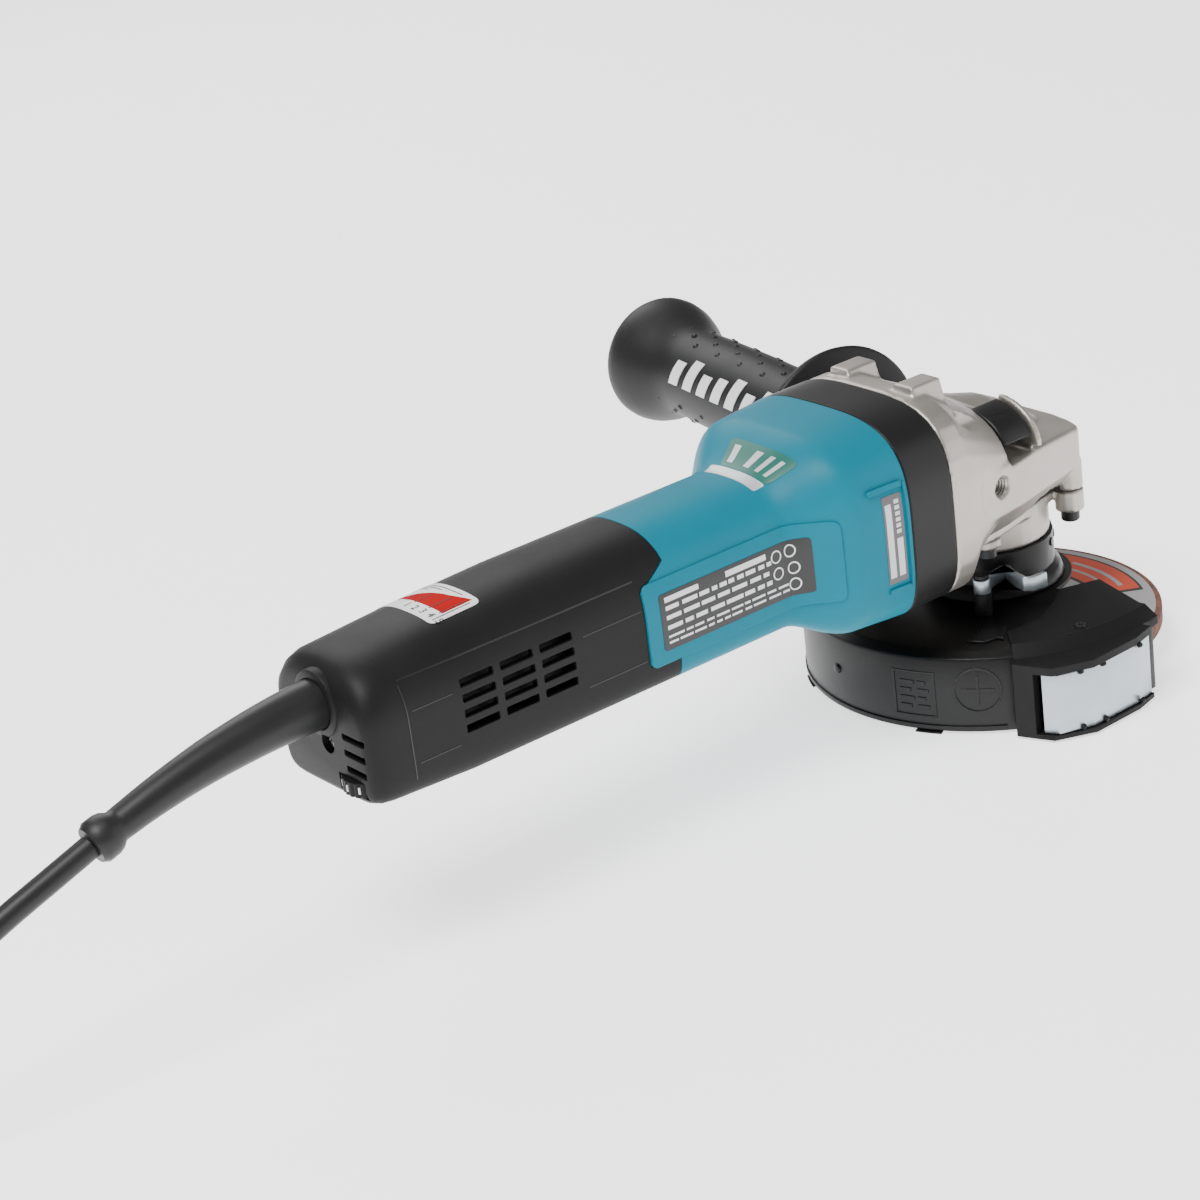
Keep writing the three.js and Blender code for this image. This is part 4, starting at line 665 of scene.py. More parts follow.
@dataclass
class Trunk:
    """The outline of the motor's housings, as sections round the motor's axis."""

    axis_z: float = 79.5
    half_width: float = 27.5
    top: float = 26.0
    bottom: float = 26.0
    front: tuple[float, float, float] = (43.4, 38.1, 37.0)
    back_x: float = -295.8
    seam_x: float = -170.0
    shoulder: tuple[float, float] = (-122.0, -97.0)
    front_x: float = -76.5
    wall: float = 2.6
    count: int = 160

    def sizes(self, x: float) -> tuple[float, float, float, float, float]:
        """Half-width, top, bottom and the two corner powers at x.

        Args:
            x: place along the motor.

        Returns:
            The five numbers.
        """
        w, t, b, crown, base = self.half_width, self.top, self.bottom, 2.6, 8.0
        back = x - self.back_x
        if back < 80:
            keys = [
                (0, -5, -13, -5), (0.5, -3.4, -10.8, -3.9), (1.4, -2, -8.6, -2.8), (4, -0.7, -5.6, -1.9),
                (8, -0.1, -4, -1.5), (40, 0, -1.6, 0), (80, 0, 0, 0),
            ]
            for (x0, w0, t0, b0), (x1, w1, t1, b1) in zip(keys, keys[1:]):
                if back <= x1:
                    s = max(0.0, (back - x0) / (x1 - x0))
                    return w + w0 + (w1 - w0) * s, t + t0 + (t1 - t0) * s, b + b0 + (b1 - b0) * s, crown, base
        fw, ft, fb = self.front
        s0, s1 = self.shoulder
        near = (fw - 1.2, ft - 1.4, fb - 1.4)
        if x <= s0:
            share, goal = 0.0, near
        elif x <= s1:
            share, goal = (x - s0) / (s1 - s0), near
            share = share * share * (3 - 2 * share)
        else:
            share = 1.0
            k = min(1.0, (x - s1) / (self.front_x - s1))
            goal = tuple(n + (f - n) * k for n, f in zip(near, self.front))
        pairs = zip((w, t, b, crown, base), (*goal, 3.3, 4.5))
        return tuple(a + (c - a) * share for a, c in pairs)

    def point(self, x: float, turn: float, lift: float = 0.0) -> Vector:
        """A point on the outline at x.

        Args:
            x: place along the motor.
            turn: the outline's parameter, 0 at +Y and a quarter turn at the top.
            lift: how far outside the skin.

        Returns:
            The point.
        """
        w, t, b, crown, base = self.sizes(x)
        c, s = math.cos(turn), math.sin(turn)
        power = crown if s > 0 else base
        height = t if s > 0 else b
        y = math.copysign((w + lift) * abs(c) ** (2 / power), c)
        z = math.copysign((height + lift) * abs(s) ** (2 / power), s)
        return Vector((x, y, self.axis_z + z))

    def turn_at(self, x: float, z: float) -> float:
        """The parameter on the near flank at a height.

        Args:
            x: place along the motor.
            z: height in the part's frame.

        Returns:
            The parameter, between a quarter turn and three quarters.
        """
        _, t, b, crown, base = self.sizes(x)
        rise = z - self.axis_z
        share = min(1.0, abs(rise) / (t if rise > 0 else b))
        power = crown if rise > 0 else base
        return math.pi - math.copysign(math.asin(min(1.0, share ** (power / 2))), rise)

    def out(self, x: float, turn: float) -> Vector:
        """The outward direction of the skin.

        Args:
            x: place along the motor.
            turn: the outline's parameter.

        Returns:
            A unit vector.
        """
        step = 0.02
        along = self.point(x + 0.5, turn) - self.point(x - 0.5, turn)
        around = self.point(x, turn + step) - self.point(x, turn - step)
        normal = along.cross(around).normalized()
        outward = self.point(x, turn) - Vector((x, 0, self.axis_z))
        return normal if normal.dot(outward) > 0 else -normal

    def ring(self, x: float, inset: float = 0.0) -> Ring:
        """A whole section.

        Args:
            x: place along the motor.
            inset: how far inside the skin.

        Returns:
            Its points.
        """
        return [self.point(x, 2 * math.pi * (k + 0.5) / self.count, -inset) for k in range(self.count)]

    def stations(self, low: float, high: float) -> list[float]:
        """Places for sections between two ends, close together where the shape turns.

        Args:
            low: first place.
            high: last place.

        Returns:
            The places.
        """
        marks = [self.back_x + d for d in (0, 0.5, 1.4, 2.6, 4, 6, 8, 12, 24, 40, 60, 80)]
        marks += [self.shoulder[0] + 25 * k / 12 for k in range(13)]
        marks += [-200, -185, -170, -150, -135, -90, -83, self.front_x]
        return [low, *[m for m in sorted(set(marks)) if low + 0.3 < m < high - 0.3], high]

    def shell(self, name: str, low: float, high: float, finish: Finish, back_wall: bool) -> bpy.types.Object:
        """A hollow stretch of housing.

        Args:
            name: the object's name.
            low: back end.
            high: front end.
            finish: its finish.
            back_wall: whether the back end is closed.

        Returns:
            The object.
        """
        outer = Piece(name).loft([self.ring(x) for x in self.stations(low, high)]).build(finish)
        start = low + 3 if back_wall else low - 1
        places = self.stations(max(start, self.back_x), high + 1)
        inside = [self.ring(max(x, self.back_x + 4), self.wall) for x in places]
        for ring, x in zip(inside, places):
            for p in ring:
                p.x = x
        if not back_wall:
            for p in inside[0]:
                p.x = low - 1
        return Bench.carve(outer, [Piece("core").loft(inside).build(finish)])

    def on_skin(self, x: float, turn: float, lift: float) -> tuple[Vector, Vector]:
        """A point that stands out from the skin, with its outward direction.

        Args:
            x: place along the motor.
            turn: the outline's parameter.
            lift: how far it stands out.

        Returns:
            The point and the direction.
        """
        n = self.out(x, turn)
        return self.point(x, turn) + n * lift, n

    def lay(self, piece: Piece, x: tuple[float, float], z: tuple[float, float], lift: float, thickness: float,
            corner: float = 0.0, cells: int = 10) -> Piece:
        """Adds a thin patch on the near flank to a piece.

        Args:
            piece: the piece.
            x: its span along the motor.
            z: its span in height.
            lift: how far it stands out.
            thickness: how thick it is.
            corner: radius of its corners.
            cells: cells each way.

        Returns:
            The piece.
        """
        rows = rounded_rows(x[1] - x[0], z[1] - z[0], corner, cells, cells)
        return piece.sheet([[self.on_skin(x[0] + u, self.turn_at(x[0] + u, z[0] + v), lift) for u, v in row]
                            for row in rows], thickness)

    def lay_over(self, piece: Piece, x: tuple[float, float], turns: tuple[float, float], lift: float,
                 thickness: float, corner: float = 0.0, cells: int = 14) -> Piece:
        """Adds a thin patch that wraps over the top to a piece.

        Args:
            piece: the piece.
            x: its span along the motor.
            turns: first and last parameter, in degrees.
            lift: how far it stands out.
            thickness: how thick it is.
            corner: radius of its corners.
            cells: cells each way.

        Returns:
            The piece.
        """
        sweep = turns[1] - turns[0]
        size = self.half_width * math.radians(sweep)
        rows = rounded_rows(x[1] - x[0], size, corner, cells, cells)
        return piece.sheet([[self.on_skin(x[0] + u, math.radians(turns[0] + sweep * v / size), lift) for u,
                             v in row]
                            for row in rows], thickness)


@dataclass
class MotorBody:
    """The teal motor housing, the rear cover, the black band and what is printed on them."""

    trunk: Trunk = field(default_factory=Trunk)
    tongue_x: float = -183.0
    tongue_z: tuple[float, float] = (64.3, 90.4)
    tongue_slant: float = 6.6
    band_x: tuple[float, float] = (-76.2, -55.8)
    cord_z: float = 86.6
    cord_bore: float = 8.9
    vent_x: float = -258.7
    vent_z: float = 69.5
    screw: tuple[float, float] = (-3.0, 73.2)
    dial: tuple[float, float] = (-288.2, -14.0)
    dial_z: tuple[float, float] = (58.9, 63.9)

    def _side(self, gap: float) -> list[bpy.types.Object]:
        """The space of the motor housing in front of the seam, with its tongues.

        Args:
            gap: how much it grows.

        Returns:
            Three blocks.
        """
        x0, x1 = self.trunk.seam_x - gap, self.tongue_x - gap
        low, high = self.tongue_z[0] - gap, self.tongue_z[1] + gap
        outline = [(x1, low), (x0 + 1, low), (x0 + 1, high + self.tongue_slant),
                   (x0, high + self.tongue_slant), (x1, high)]
        tools = [block("side", (x0, 0), (-70, 70), (-20, 190))]
        for name, y in (("tongue far", (21.5, 70)), ("tongue near", (-70, -21.5))):
            rings = [[Vector((px, level, pz)) for px, pz in outline] for level in y]
            tools.append(Piece(name).loft(rings).build(TEAL))
        return tools

    def build(self) -> None:
        """Builds and places the pieces."""
        t = self.trunk
        motor = t.shell("motor_housing_skin", self.tongue_x, t.front_x, TEAL, False)
        keep = self._side(0.0)
        Bench.carve(keep[0], keep[1:], "UNION")
        Bench.carve(motor, keep[:1], "INTERSECT")
        slot = block("switch slot", (-147.3, -126.7), (20, 40), (82.7, 88.3))
        Bench.carve(motor, [slot])
        Bench.tidy(motor, TEAL)
        place(motor, "housing", "teal_shell", "motor_housing")

        cover = t.shell("rear_cover_skin", t.back_x, t.seam_x + 1, CHARCOAL, True)
        sleeve = Piece("sleeve").lathe(
            [(4, -1.0), (10.4, -1.0), (11.3, -0.5), (11.6, 0.4), (11.6, 7.6), (4, 7.6)],
            axis_at((t.back_x, 0, self.cord_z), (1, 0, 0)), 64).build(CHARCOAL)
        exit_axis = axis_at((t.back_x, 0, self.cord_z), (1, 0, 0))
        screw_axis = axis_at((t.back_x, *self.screw), (1, 0, 0))
        dial_axis = axis_at((*self.dial, 0), (0, 0, 1))
        Bench.carve(cover, [sleeve, rod("boss", 4.4, (0.7, 14), screw_axis)], "UNION")
        cutters = self._side(0.3)
        cutters.append(rod("bore", self.cord_bore, (-5, 12), exit_axis, 64))
        cutters.append(rod("sink", 3.4, (-3, 3.6), screw_axis))
        cutters.append(rod("dial", 10.5, (self.dial_z[0] - 0.5, self.dial_z[1] + 0.5), dial_axis, 64))
        cutters += self._vents() + self._tail_slots()
        Bench.carve(cover, cutters)
        Bench.tidy(cover, CHARCOAL)
        place(cover, "housing", "charcoal_shell", "rear_cover")
        self._panels()
        self._band()
        self._tail_fittings()
        self._labels()

    def _slot_outline(self, length: float, height: float) -> list[tuple[float, float]]:
        """A slot with small round corners.

        Args:
            length: its length.
            height: its height.

        Returns:
            Its outline.
        """
        r = 0.55
        corners = ((length - r, r, -90), (length - r, height - r, 0), (r, height - r, 90), (r, r, 180))
        outline = []
        for cx, cy, start in corners:
            for k in range(5):
                a = math.radians(start + 22.5 * k)
                outline.append((cx + r * math.cos(a), cy + r * math.sin(a)))
        return outline

    def _vents(self) -> list[bpy.types.Object]:
        """The air slots through both flanks.

        Returns:
            Cutting tools.
        """
        tools = []
        outline = self._slot_outline(13.3, 2.9)
        for row in range(4):
            piece = Piece(f"vents {row}")
            for column in range(3):
                x, z = self.vent_x + column * 16.1, self.vent_z + row * 5.3
                piece.loft([[Vector((x + u, y, z + v)) for u, v in outline] for y in (-34, 34)])
            tools.append(piece.build(CHARCOAL))
        return tools

    def _tail_slots(self) -> list[bpy.types.Object]:
        """The air slots in the tail.

        Returns:
            Cutting tools.
        """
        piece = Piece("tail slots")
        for side, rows in ((-1, 3), (1, 2)):
            for row in range(rows):
                z = 79.8 - 5.7 * row - 2.4
                y0, y1 = (-24 + row * 0.5, -12.2) if side < 0 else (12.2, 23.5 - row)
                outline = self._slot_outline(y1 - y0, 2.4)
                piece.loft([[Vector((x, y0 + u, z + v)) for u, v in outline] for x in (-300, -286)])
        return [piece.build(CHARCOAL)]

    def _panels(self) -> None:
        """The low raised panels and ridges on the near flank."""
        t = self.trunk
        pad = t.lay(Piece("flank_panel"), (-182.8, -104.5), (62.8, 92.4), 0.6, 1.5, 2.5, 36).build(TEAL)
        place(Bench.round_edges(pad, 0.4, 50), "housing", "teal_shell")
        lines = Piece("cover_panel_edge")
        for x, z in (
            ((-279.5, -184.5), (94.6, 95.1)), ((-280.1, -279.7), (61.5, 93.6)),
            ((-278, -262), (84.6, 84.9)), ((-278, -262), (66.4, 66.7)), ((-209, -184.5), (84.6, 84.9)),
            ((-209, -184.5), (66.4, 66.7)),
        ):
            t.lay(lines, x, z, 0.1, 0.6, 0.0, 24)
        place(lines.build(LABEL_BLACK), "housing", "charcoal_shell")
        frame = Piece("side_label_frame")
        for x, z in (((-94, -79), (97.4, 99.4)), ((-88, -79), (59.6, 61.4)), ((-78.6, -77.4), (60, 98.6))):
            t.lay(frame, x, z, 0.9, 1.6, 0.5, 12)
        place(Bench.round_edges(frame.build(TEAL), 0.3, 50), "housing", "teal_shell")

    def _band(self) -> None:
        """The black band behind the gear housing."""
        t = self.trunk

        def ring(x: float, inset: float) -> Ring:
            """A section of the band."""
            points = [t.point(t.front_x, 2 * math.pi * (k + 0.5) / t.count, -inset) for k in range(t.count)]
            for p in points:
                p.x = x
            return points

        x0, x1 = self.band_x
        rings = [ring(x0, 0.6), ring(x0 + 0.6, 0.0), ring(x1 - 0.6, 0.0), ring(x1, 0.6), ring(x1, 3),
                 ring(x0, 3)]
        band = Piece("front_band").loft(rings, closed=True).build(BAND)
        place(band, "housing", "charcoal_shell", "front_ring")

    def _tail_fittings(self) -> None:
        """The screw and the thumb wheel in the tail."""
        t = self.trunk
        head = Piece("tail_screw").lathe(
            [(0.01, 2.0), (2.4, 2.0), (3.0, 2.5), (3.0, 3.7), (1.7, 3.7), (1.7, 28), (0.01, 28)],
            axis_at((t.back_x, *self.screw), (1, 0, 0)), 40).build(STEEL)
        cross = [block("cross a", (t.back_x + 1, t.back_x + 3.0), (-4.9, -1.1), (72.8, 73.6)),
                 block("cross b", (t.back_x + 1, t.back_x + 3.0), (-3.4, -2.6), (71.3, 75.1))]
        Bench.tidy(Bench.carve(head, cross), STEEL)
        place(head, "housing", "machined_steel", "rear_cover_screw")
        middle = Vector((*self.dial, 0))
        wheel = []
        for k in range(120):
            turn = 2 * math.pi * k / 120
            r = 9.85 - 0.55 * (0.5 + 0.5 * math.cos(turn * 24)) ** 3
            wheel.append((middle + r * spoke(turn)).to_2d())
        dial = Piece("thumb_wheel").prism(wheel, *self.dial_z).build(CHARCOAL, 25)
        place(dial, "dial", "charcoal_shell", "speed_dial")
        ticks = Piece("thumb_wheel_ticks")
        for k in range(12):
            sides = [spoke(math.radians(a)) for a in (k * 30 - 2.2, k * 30 + 2.2)]
            rows = [[(middle + UP.col[2].to_3d() * z + n * 9.95, n) for n in sides] for z in (60.4, 62.6)]
            ticks.sheet(rows, 0.5)
        place(ticks.build(LABEL_SILVER), "dial", "charcoal_shell")

    def _stick(self, piece: Piece, finish: Finish) -> None:
        """Finishes a label or its print and fixes it to the housing.

        Args:
            piece: the label or print.
            finish: its finish.
        """
        place(piece.build(finish), "housing", "charcoal_shell")

    def _labels(self) -> None:
        """Plain labels whose print is only bars, rings and wedges."""
        t = self.trunk
        self._stick(t.lay(Piece("rating_label"), (-177.0, -112.5), (67.4, 87.6), 0.74, 0.3, 1.2, 48),
                    LABEL_BLACK)
        pick = random.Random(7)
        bars = Piece("rating_label_print")
        for row, z in enumerate((69.6, 71.7, 74.6, 78.2, 81.6)):
            x = -174.8
            stop = -129.0 if row > 1 else -122.0
            while x < stop:
                long = pick.uniform(2.2, 7.5)
                tall = 0.8 if row < 2 else 1.5
                t.lay(bars, (x, min(x + long, stop + 1)), (z, z + tall), 0.82, 0.05, 0.0, 3)
                x += long + pick.uniform(0.7, 1.6)
        t.lay(bars, (-174.8, -160), (84.4, 86.2), 0.82, 0.05, 0.0, 5)
        t.lay(bars, (-148, -130), (84.2, 86.2), 0.82, 0.05, 0.0, 5)
        self._stick(bars, LABEL_WHITE)
        signs = Piece("rating_label_signs")
        for x, z in ((-125.5, 83.6), (-119.5, 84.0), (-125.2, 77.4), (-118.6, 77.6), (-118.6, 71.6)):
            for k in range(20):
                quad = [[], []]
                for row, r in zip(quad, (1.8, 2.3)):
                    for a in (2 * math.pi * k / 20, 2 * math.pi * (k + 1) / 20):
                        px, pz = x + r * math.cos(a), z + r * math.sin(a)
                        row.append(t.on_skin(px, t.turn_at(px, pz), 0.84))
                signs.sheet(quad, 0.05)
        self._stick(signs, LABEL_WHITE)

        self._stick(t.lay(Piece("side_label"), (-88.2, -79.8), (63.2, 95.6), 0.14, 0.3, 0.6, 36), LABEL_GREY)
        side = Piece("side_label_print")
        t.lay(side, (-87.4, -84.8), (65.4, 92.6), 0.24, 0.08, 0.0, 16)
        t.lay(side, (-83.4, -80.8), (65.4, 79.4), 0.24, 0.08, 0.0, 10)
        for k in range(6):
            t.lay(side, (-83.2, -81.2), (81.2 + 2.2 * k, 82.6 + 2.2 * k), 0.24, 0.08, 0.0, 2)
        self._stick(side, LABEL_SILVER)

        self._stick(t.lay_over(Piece("speed_label"), (-256.6, -236.4), (46, 111), 0.14, 0.3, 2.5, 30),
                    LABEL_WHITE)
        red = Piece("speed_label_wedge")
        rows = []
        for j in range(19):
            s = j / 18
            turn = math.radians(64 + 41 * s)
            back, deep = -250.6 + 0.6 * s, 1.0 + 11.0 * s ** 0.75
            rows.append([t.on_skin(back + deep * i / 8, turn, 0.2) for i in range(9)])
        red.sheet(rows, 0.06)
        self._stick(red, LABEL_RED)
        rules = Piece("speed_label_rules")
        for k in range(5):
            turn = 66 + 9.2 * k
            t.lay_over(rules, (-250.8, -248.4 + 2.1 * k), (turn, turn + 0.7), 0.26, 0.05, 0.0, 4)
        t.lay_over(rules, (-254.8, -239.6), (106.4, 107.2), 0.2, 0.06, 0.0, 8)
        for k in range(4):
            t.lay_over(rules, (-238.6 - 1.5 * k, -238.2 - 1.5 * k), (56, 96 - 11 * k), 0.2, 0.06, 0.0, 14)
        self._stick(rules, DARK_PRINT)
        self._speed_digits()

        self._stick(t.lay_over(Piece("top_label"), (-121.6, -117.2), (72, 117), 0.14, 0.3, 0.8, 26),
                    LABEL_SILVER)
        self._stick(t.lay_over(Piece("top_label_field"), (-116.9, -106.6), (80, 118), 0.16, 0.3, 1.8, 26),
                    LABEL_GREEN)
        bars = Piece("top_label_bars")
        for k in range(4):
            t.lay_over(bars, (-115, -108.6), (84 + 8 * k, 87.4 + 8 * k), 0.24, 0.06, 0.0, 10)
        self._stick(bars, LABEL_SILVER)

    def _speed_digits(self) -> None:
        """The dial's numbers beside the wedge."""
        t = self.trunk
        x = -253.4
        crown = t.sizes(x)[3]
        for k in range(5):
            across = 0.187 - 0.159 * k
            turn = math.acos(math.copysign(abs(across) ** (crown / 2), across))
            font = bpy.data.curves.new(f"speed_digit_{k + 1}", "FONT")
            font.body = str(k + 1)
            font.size = 4.2 * MM
            font.extrude = 0.05 * MM
            font.align_x = font.align_y = "CENTER"
            letter = added(font.name, font)
            spot, out = t.on_skin(x, turn, 0.2)
            over = (t.point(x, turn + 0.02) - t.point(x, turn - 0.02)).normalized()
            up = out.cross(over).normalized()
            graph = bpy.context.evaluated_depsgraph_get()
            mesh = bpy.data.meshes.new_from_object(letter.evaluated_get(graph))
            bpy.data.objects.remove(letter, do_unlink=True)
            spin = Matrix((over, up, out)).transposed().to_4x4()
            mesh.transform(Matrix.Translation(spot * MM) @ spin)
            digit = Bench.tidy(added(f"speed_digit_{k + 1}", mesh), DARK_PRINT)
            place(digit, "housing", "charcoal_shell")


# ------------------------------------------------------------------ gear head


@dataclass
class GearHead:
    """The cast head, its neck, the shaft lock and the screws."""

    handle_x: float = -33.5
    handle_z: float = 78.3
    lean: float = math.radians(8.7)
    seat: float = 39.2

    def build(self) -> None:
        """Builds and places the pieces."""
        head = Bench.melt(copy_of("gear_housing", "cast_head"), 0.75, 5)
        place(Bench.tidy(head, CAST, 60), "housing", "cast_head", "gear_housing")
        neck = Bench.melt(copy_of("bearing_box", "cast_neck"), 0.7, 3)
        place(Bench.tidy(neck, CAST, 60), "housing", "cast_head", "bearing_box")
        self._lock()
        self._hole()
        self._screws()

    def _lock(self) -> None:
        """The curved shaft lock button with its thumb dimple."""
        button = copy_of("lock_button", "shaft_lock_button")
        Bench.round_edges(button, 0.9, 40, 3)
        dimple = Piece("dimple").lathe(
            [(0.01, -4), (2.4, -2.9), (4.2, 0), (2.4, 2.9), (0.01, 4)],
            axis_at((-14, -28.8, 102.2), (0, -0.6, 0.8)), 32).build(BAND)
        Bench.carve(button, [dimple])
        place(Bench.tidy(button, BAND, 40), "shaft_lock", "charcoal_shell", "lock_button")

    def _hole(self) -> None:
        """The thread in the spare handle hole."""
        d = (math.sin(self.lean), -math.cos(self.lean), 0.0)
        axis = axis_at((self.handle_x, 0, self.handle_z), d)
        profile = [(3.98, self.seat - 12)]
        for k in range(9):
            z = self.seat - 12 + 1.25 * k
            profile += [(3.3, z + 0.4), (3.3, z + 0.55), (3.9, z + 1.1)]
        profile += [(3.98, self.seat - 0.6)]
        thread = Piece("handle_hole_thread").lathe(profile, axis, 48).build(CAST)
        place(thread, "housing", "cast_head")

    def _screws(self) -> None:
        """Socket screws under the head and on its flange."""
        for k, (sx, sy) in enumerate(((1, 1), (1, -1), (-1, 1), (-1, -1))):
            axis = axis_at((21.8 * sx, 21.8 * sy, 0), (0, 0, 1))
            screw = Piece(f"socket_screw_{k + 1}").lathe(
                [(0.01, 46.6), (1.7, 46.6), (1.9, 45.2), (3.1, 45.2), (3.5, 45.7), (3.5, 49.2), (1.8, 49.2),
                 (1.8, 66), (0.01, 66)],
                axis, 40).build(OXIDE)
            place(screw, "housing", "black_fixings", f"bearing_box_screw_{k + 1}")


# ------------------------------------------------------------------ guard and wheel


@dataclass
class Guard:
    """The guard, its collar, the clip-on cover's latch and the marks on its wall."""

    radius: float = 72.0
    wall: float = 1.6
    top: float = 25.5
    bottom: float = -5.2
    chamfer: float = 3.0
    inner: float = 24.4
    half: float = 98.0

    def build(self) -> None:
        """Builds and places the pieces."""
        r, w, t, b, c = self.radius, self.wall, self.top, self.bottom, self.chamfer
        profile = [
            (self.inner, t), (self.inner, t - w), (r - 4.6, t - w), (r - w, t - c - 0.6), (r - w, b), (r, b),
            (r, t - c), (r - 0.5, t - c + 0.9), (r - 3.4, t - 0.5), (r - 4.6, t),
        ]
        shell = Piece("guard_skin").lathe(profile, UP, 240, (180 - self.half, 180 + self.half)).build(POWDER,
                                                                                                      30)
        Bench.round_edges(shell, 0.3, 40)
        place(Bench.tidy(shell, POWDER, 30), "guard", "black_sheet", "guard_shell")
        ring = Piece("guard_ring").lathe([(self.inner, t - 0.05), (self.inner, t - w + 0.05),
                                          (30, t - w + 0.05), (30, t - 0.05)],
                                         UP, 120).build(POWDER)
        place(ring, "guard", "black_sheet")
        bead = Piece("guard_bead").lathe([(r - 0.3, b + 0.6), (r + 0.45, b + 0.8), (r + 0.45, b + 2.2),
                                          (r - 0.3, b + 2.4)],
                                         UP, 240, (180 - self.half + 1, 180 + self.half - 50)).build(POWDER)
        place(bead, "guard", "black_sheet")
        self._arrow()
        self._marks()
        self._collar()
        for node, name, width in (("latch_holder", "latch_holder_body", 0.5),
                                  ("cutting_cover", "clip_cover", 0.4)):
            body = Bench.round_edges(copy_of(node, name), width, 45)
            place(Bench.tidy(body, CHARCOAL), "guard", "charcoal_shell", node)
        latch = Bench.round_edges(copy_of("cover_latch", "latch_plate"), 0.3, 70)
        place(Bench.tidy(latch, ZINC, 30), "latch", "plated_sheet", "cover_latch")
        self._latch_fittings()
        lever = Bench.round_edges(copy_of("guard_lever", "lever_strip"), 0.3, 50)
        place(Bench.tidy(lever, ZINC, 40), "lever", "plated_sheet", "guard_lever")

    def _arrow(self) -> None:
        """The raised direction arrow on the top plate."""
        outline = [(-50, -37.1), (-40.7, -36.0), (-40.4, -34.0), (-33, -40.2), (-40.6, -46.8),
                   (-41.0, -44.6), (-47.0, -43.0)]
        arrow = Piece("guard_arrow").prism(outline, self.top - 0.2, self.top + 1.1).build(POWDER)
        place(Bench.round_edges(arrow, 0.3, 50), "guard", "black_sheet")

    def _marks(self) -> None:
        """Plain raised marks on the wall: a framed block of short bars, and a ring with a bar across it."""
        marks = Piece("guard_marks")
        r = self.radius

        def patch(a0: float, a1: float, z0: float, z1: float) -> None:
            """Adds one raised bar between two angles and two heights."""
            rows = []
            for z in (z0, z1):
                rows.append([])
                for k in range(7):
                    n = spoke(math.radians(a0 + (a1 - a0) * k / 6))
                    rows[-1].append((n * (r + 0.28) + Vector((0, 0, z)), n))
            marks.sheet(rows, 0.5)

        for a0, a1, z0, z1 in ((195, 208, 17.4, 18), (195, 208, 0, 0.6), (195, 195.5, 0, 18),
                               (207.5, 208, 0, 18)):
            patch(a0, a1, z0, z1)
        for k, z in enumerate((3.2, 6.4, 9.6, 12.8)):
            patch(197, 200.5 + (k % 2), z, z + 1.4)
            patch(202.5, 206 - (k % 2), z, z + 1.4)
        steps = 40
        for k in range(steps):
            a0, a1 = 2 * math.pi * k / steps, 2 * math.pi * (k + 1) / steps
            quad = []
            for rad in (8.1, 8.9):
                row = []
                for a in (a0, a1):
                    n = spoke(math.radians(220.3 + math.degrees(rad * math.cos(a) / r)))
                    row.append((n * (r + 0.28) + Vector((0, 0, 11.3 + rad * math.sin(a))), n))
                quad.append(row)
            marks.sheet(quad, 0.5)
        patch(215.5, 225.1, 10.7, 11.9)
        patch(219.9, 220.7, 5.5, 17.0)
        place(marks.build(POWDER), "guard", "black_sheet")
        out = spoke(math.radians(172.5))
        axis = axis_at((r * out.x, r * out.y, 10.5), out)
        rivet = Piece("guard_rivet").lathe([(0.01, 0), (2.0, 0), (1.6, 0.8), (0.01, 1.1)], axis,
                                           24).build(POWDER)
        place(rivet, "guard", "black_sheet")

    def _collar(self) -> None:
        """The clamped collar, with its index holes as dark cups."""
        collar = Bench.round_edges(copy_of("guard_collar", "guard_collar_skin"), 0.35, 50)
        place(Bench.tidy(collar, POWDER, 40), "guard", "black_sheet", "guard_collar")
        spots = []
        for k in range(9):
            n = spoke(math.radians(-60 + 20 * k))
            spots.append((n * 24.1 + Vector((0, 0, 39.3)), n))
        place(Repeater("index cups", 20, OXIDE).make("index_hole_rims", spots, 1.7, 1.4, 0.35), "guard",
              "black_sheet")

    def _latch_fittings(self) -> None:
        """Pips that hold the latch plate in its holder, and a screw in the flap."""
        spots = []
        for x, y in ((-33.5, -76.9), (-24, -78.7), (-5, -78.5)):
            spots.append((Vector((x, y, 19.4)), Vector((0.0, -1.0, 0.25)).normalized()))
            spots.append((Vector((x, y, -2.4)), Vector((0.0, -1.0, -0.25)).normalized()))
        place(Repeater("latch pips", 16, CHARCOAL).make("latch_pips", spots, 1.2, 0.8, 1.1), "guard",
              "charcoal_shell")
        screw = Piece("flap_screw").lathe([(0.01, 26.6), (2.3, 26.6), (2.0, 27.4), (0.9, 27.4), (0.7, 26.9),
                                           (0.01, 26.9)],
                                          axis_at((-17, -62, 0), (0, 0, 1)), 32).build(OXIDE)
        place(screw, "guard", "black_fixings")


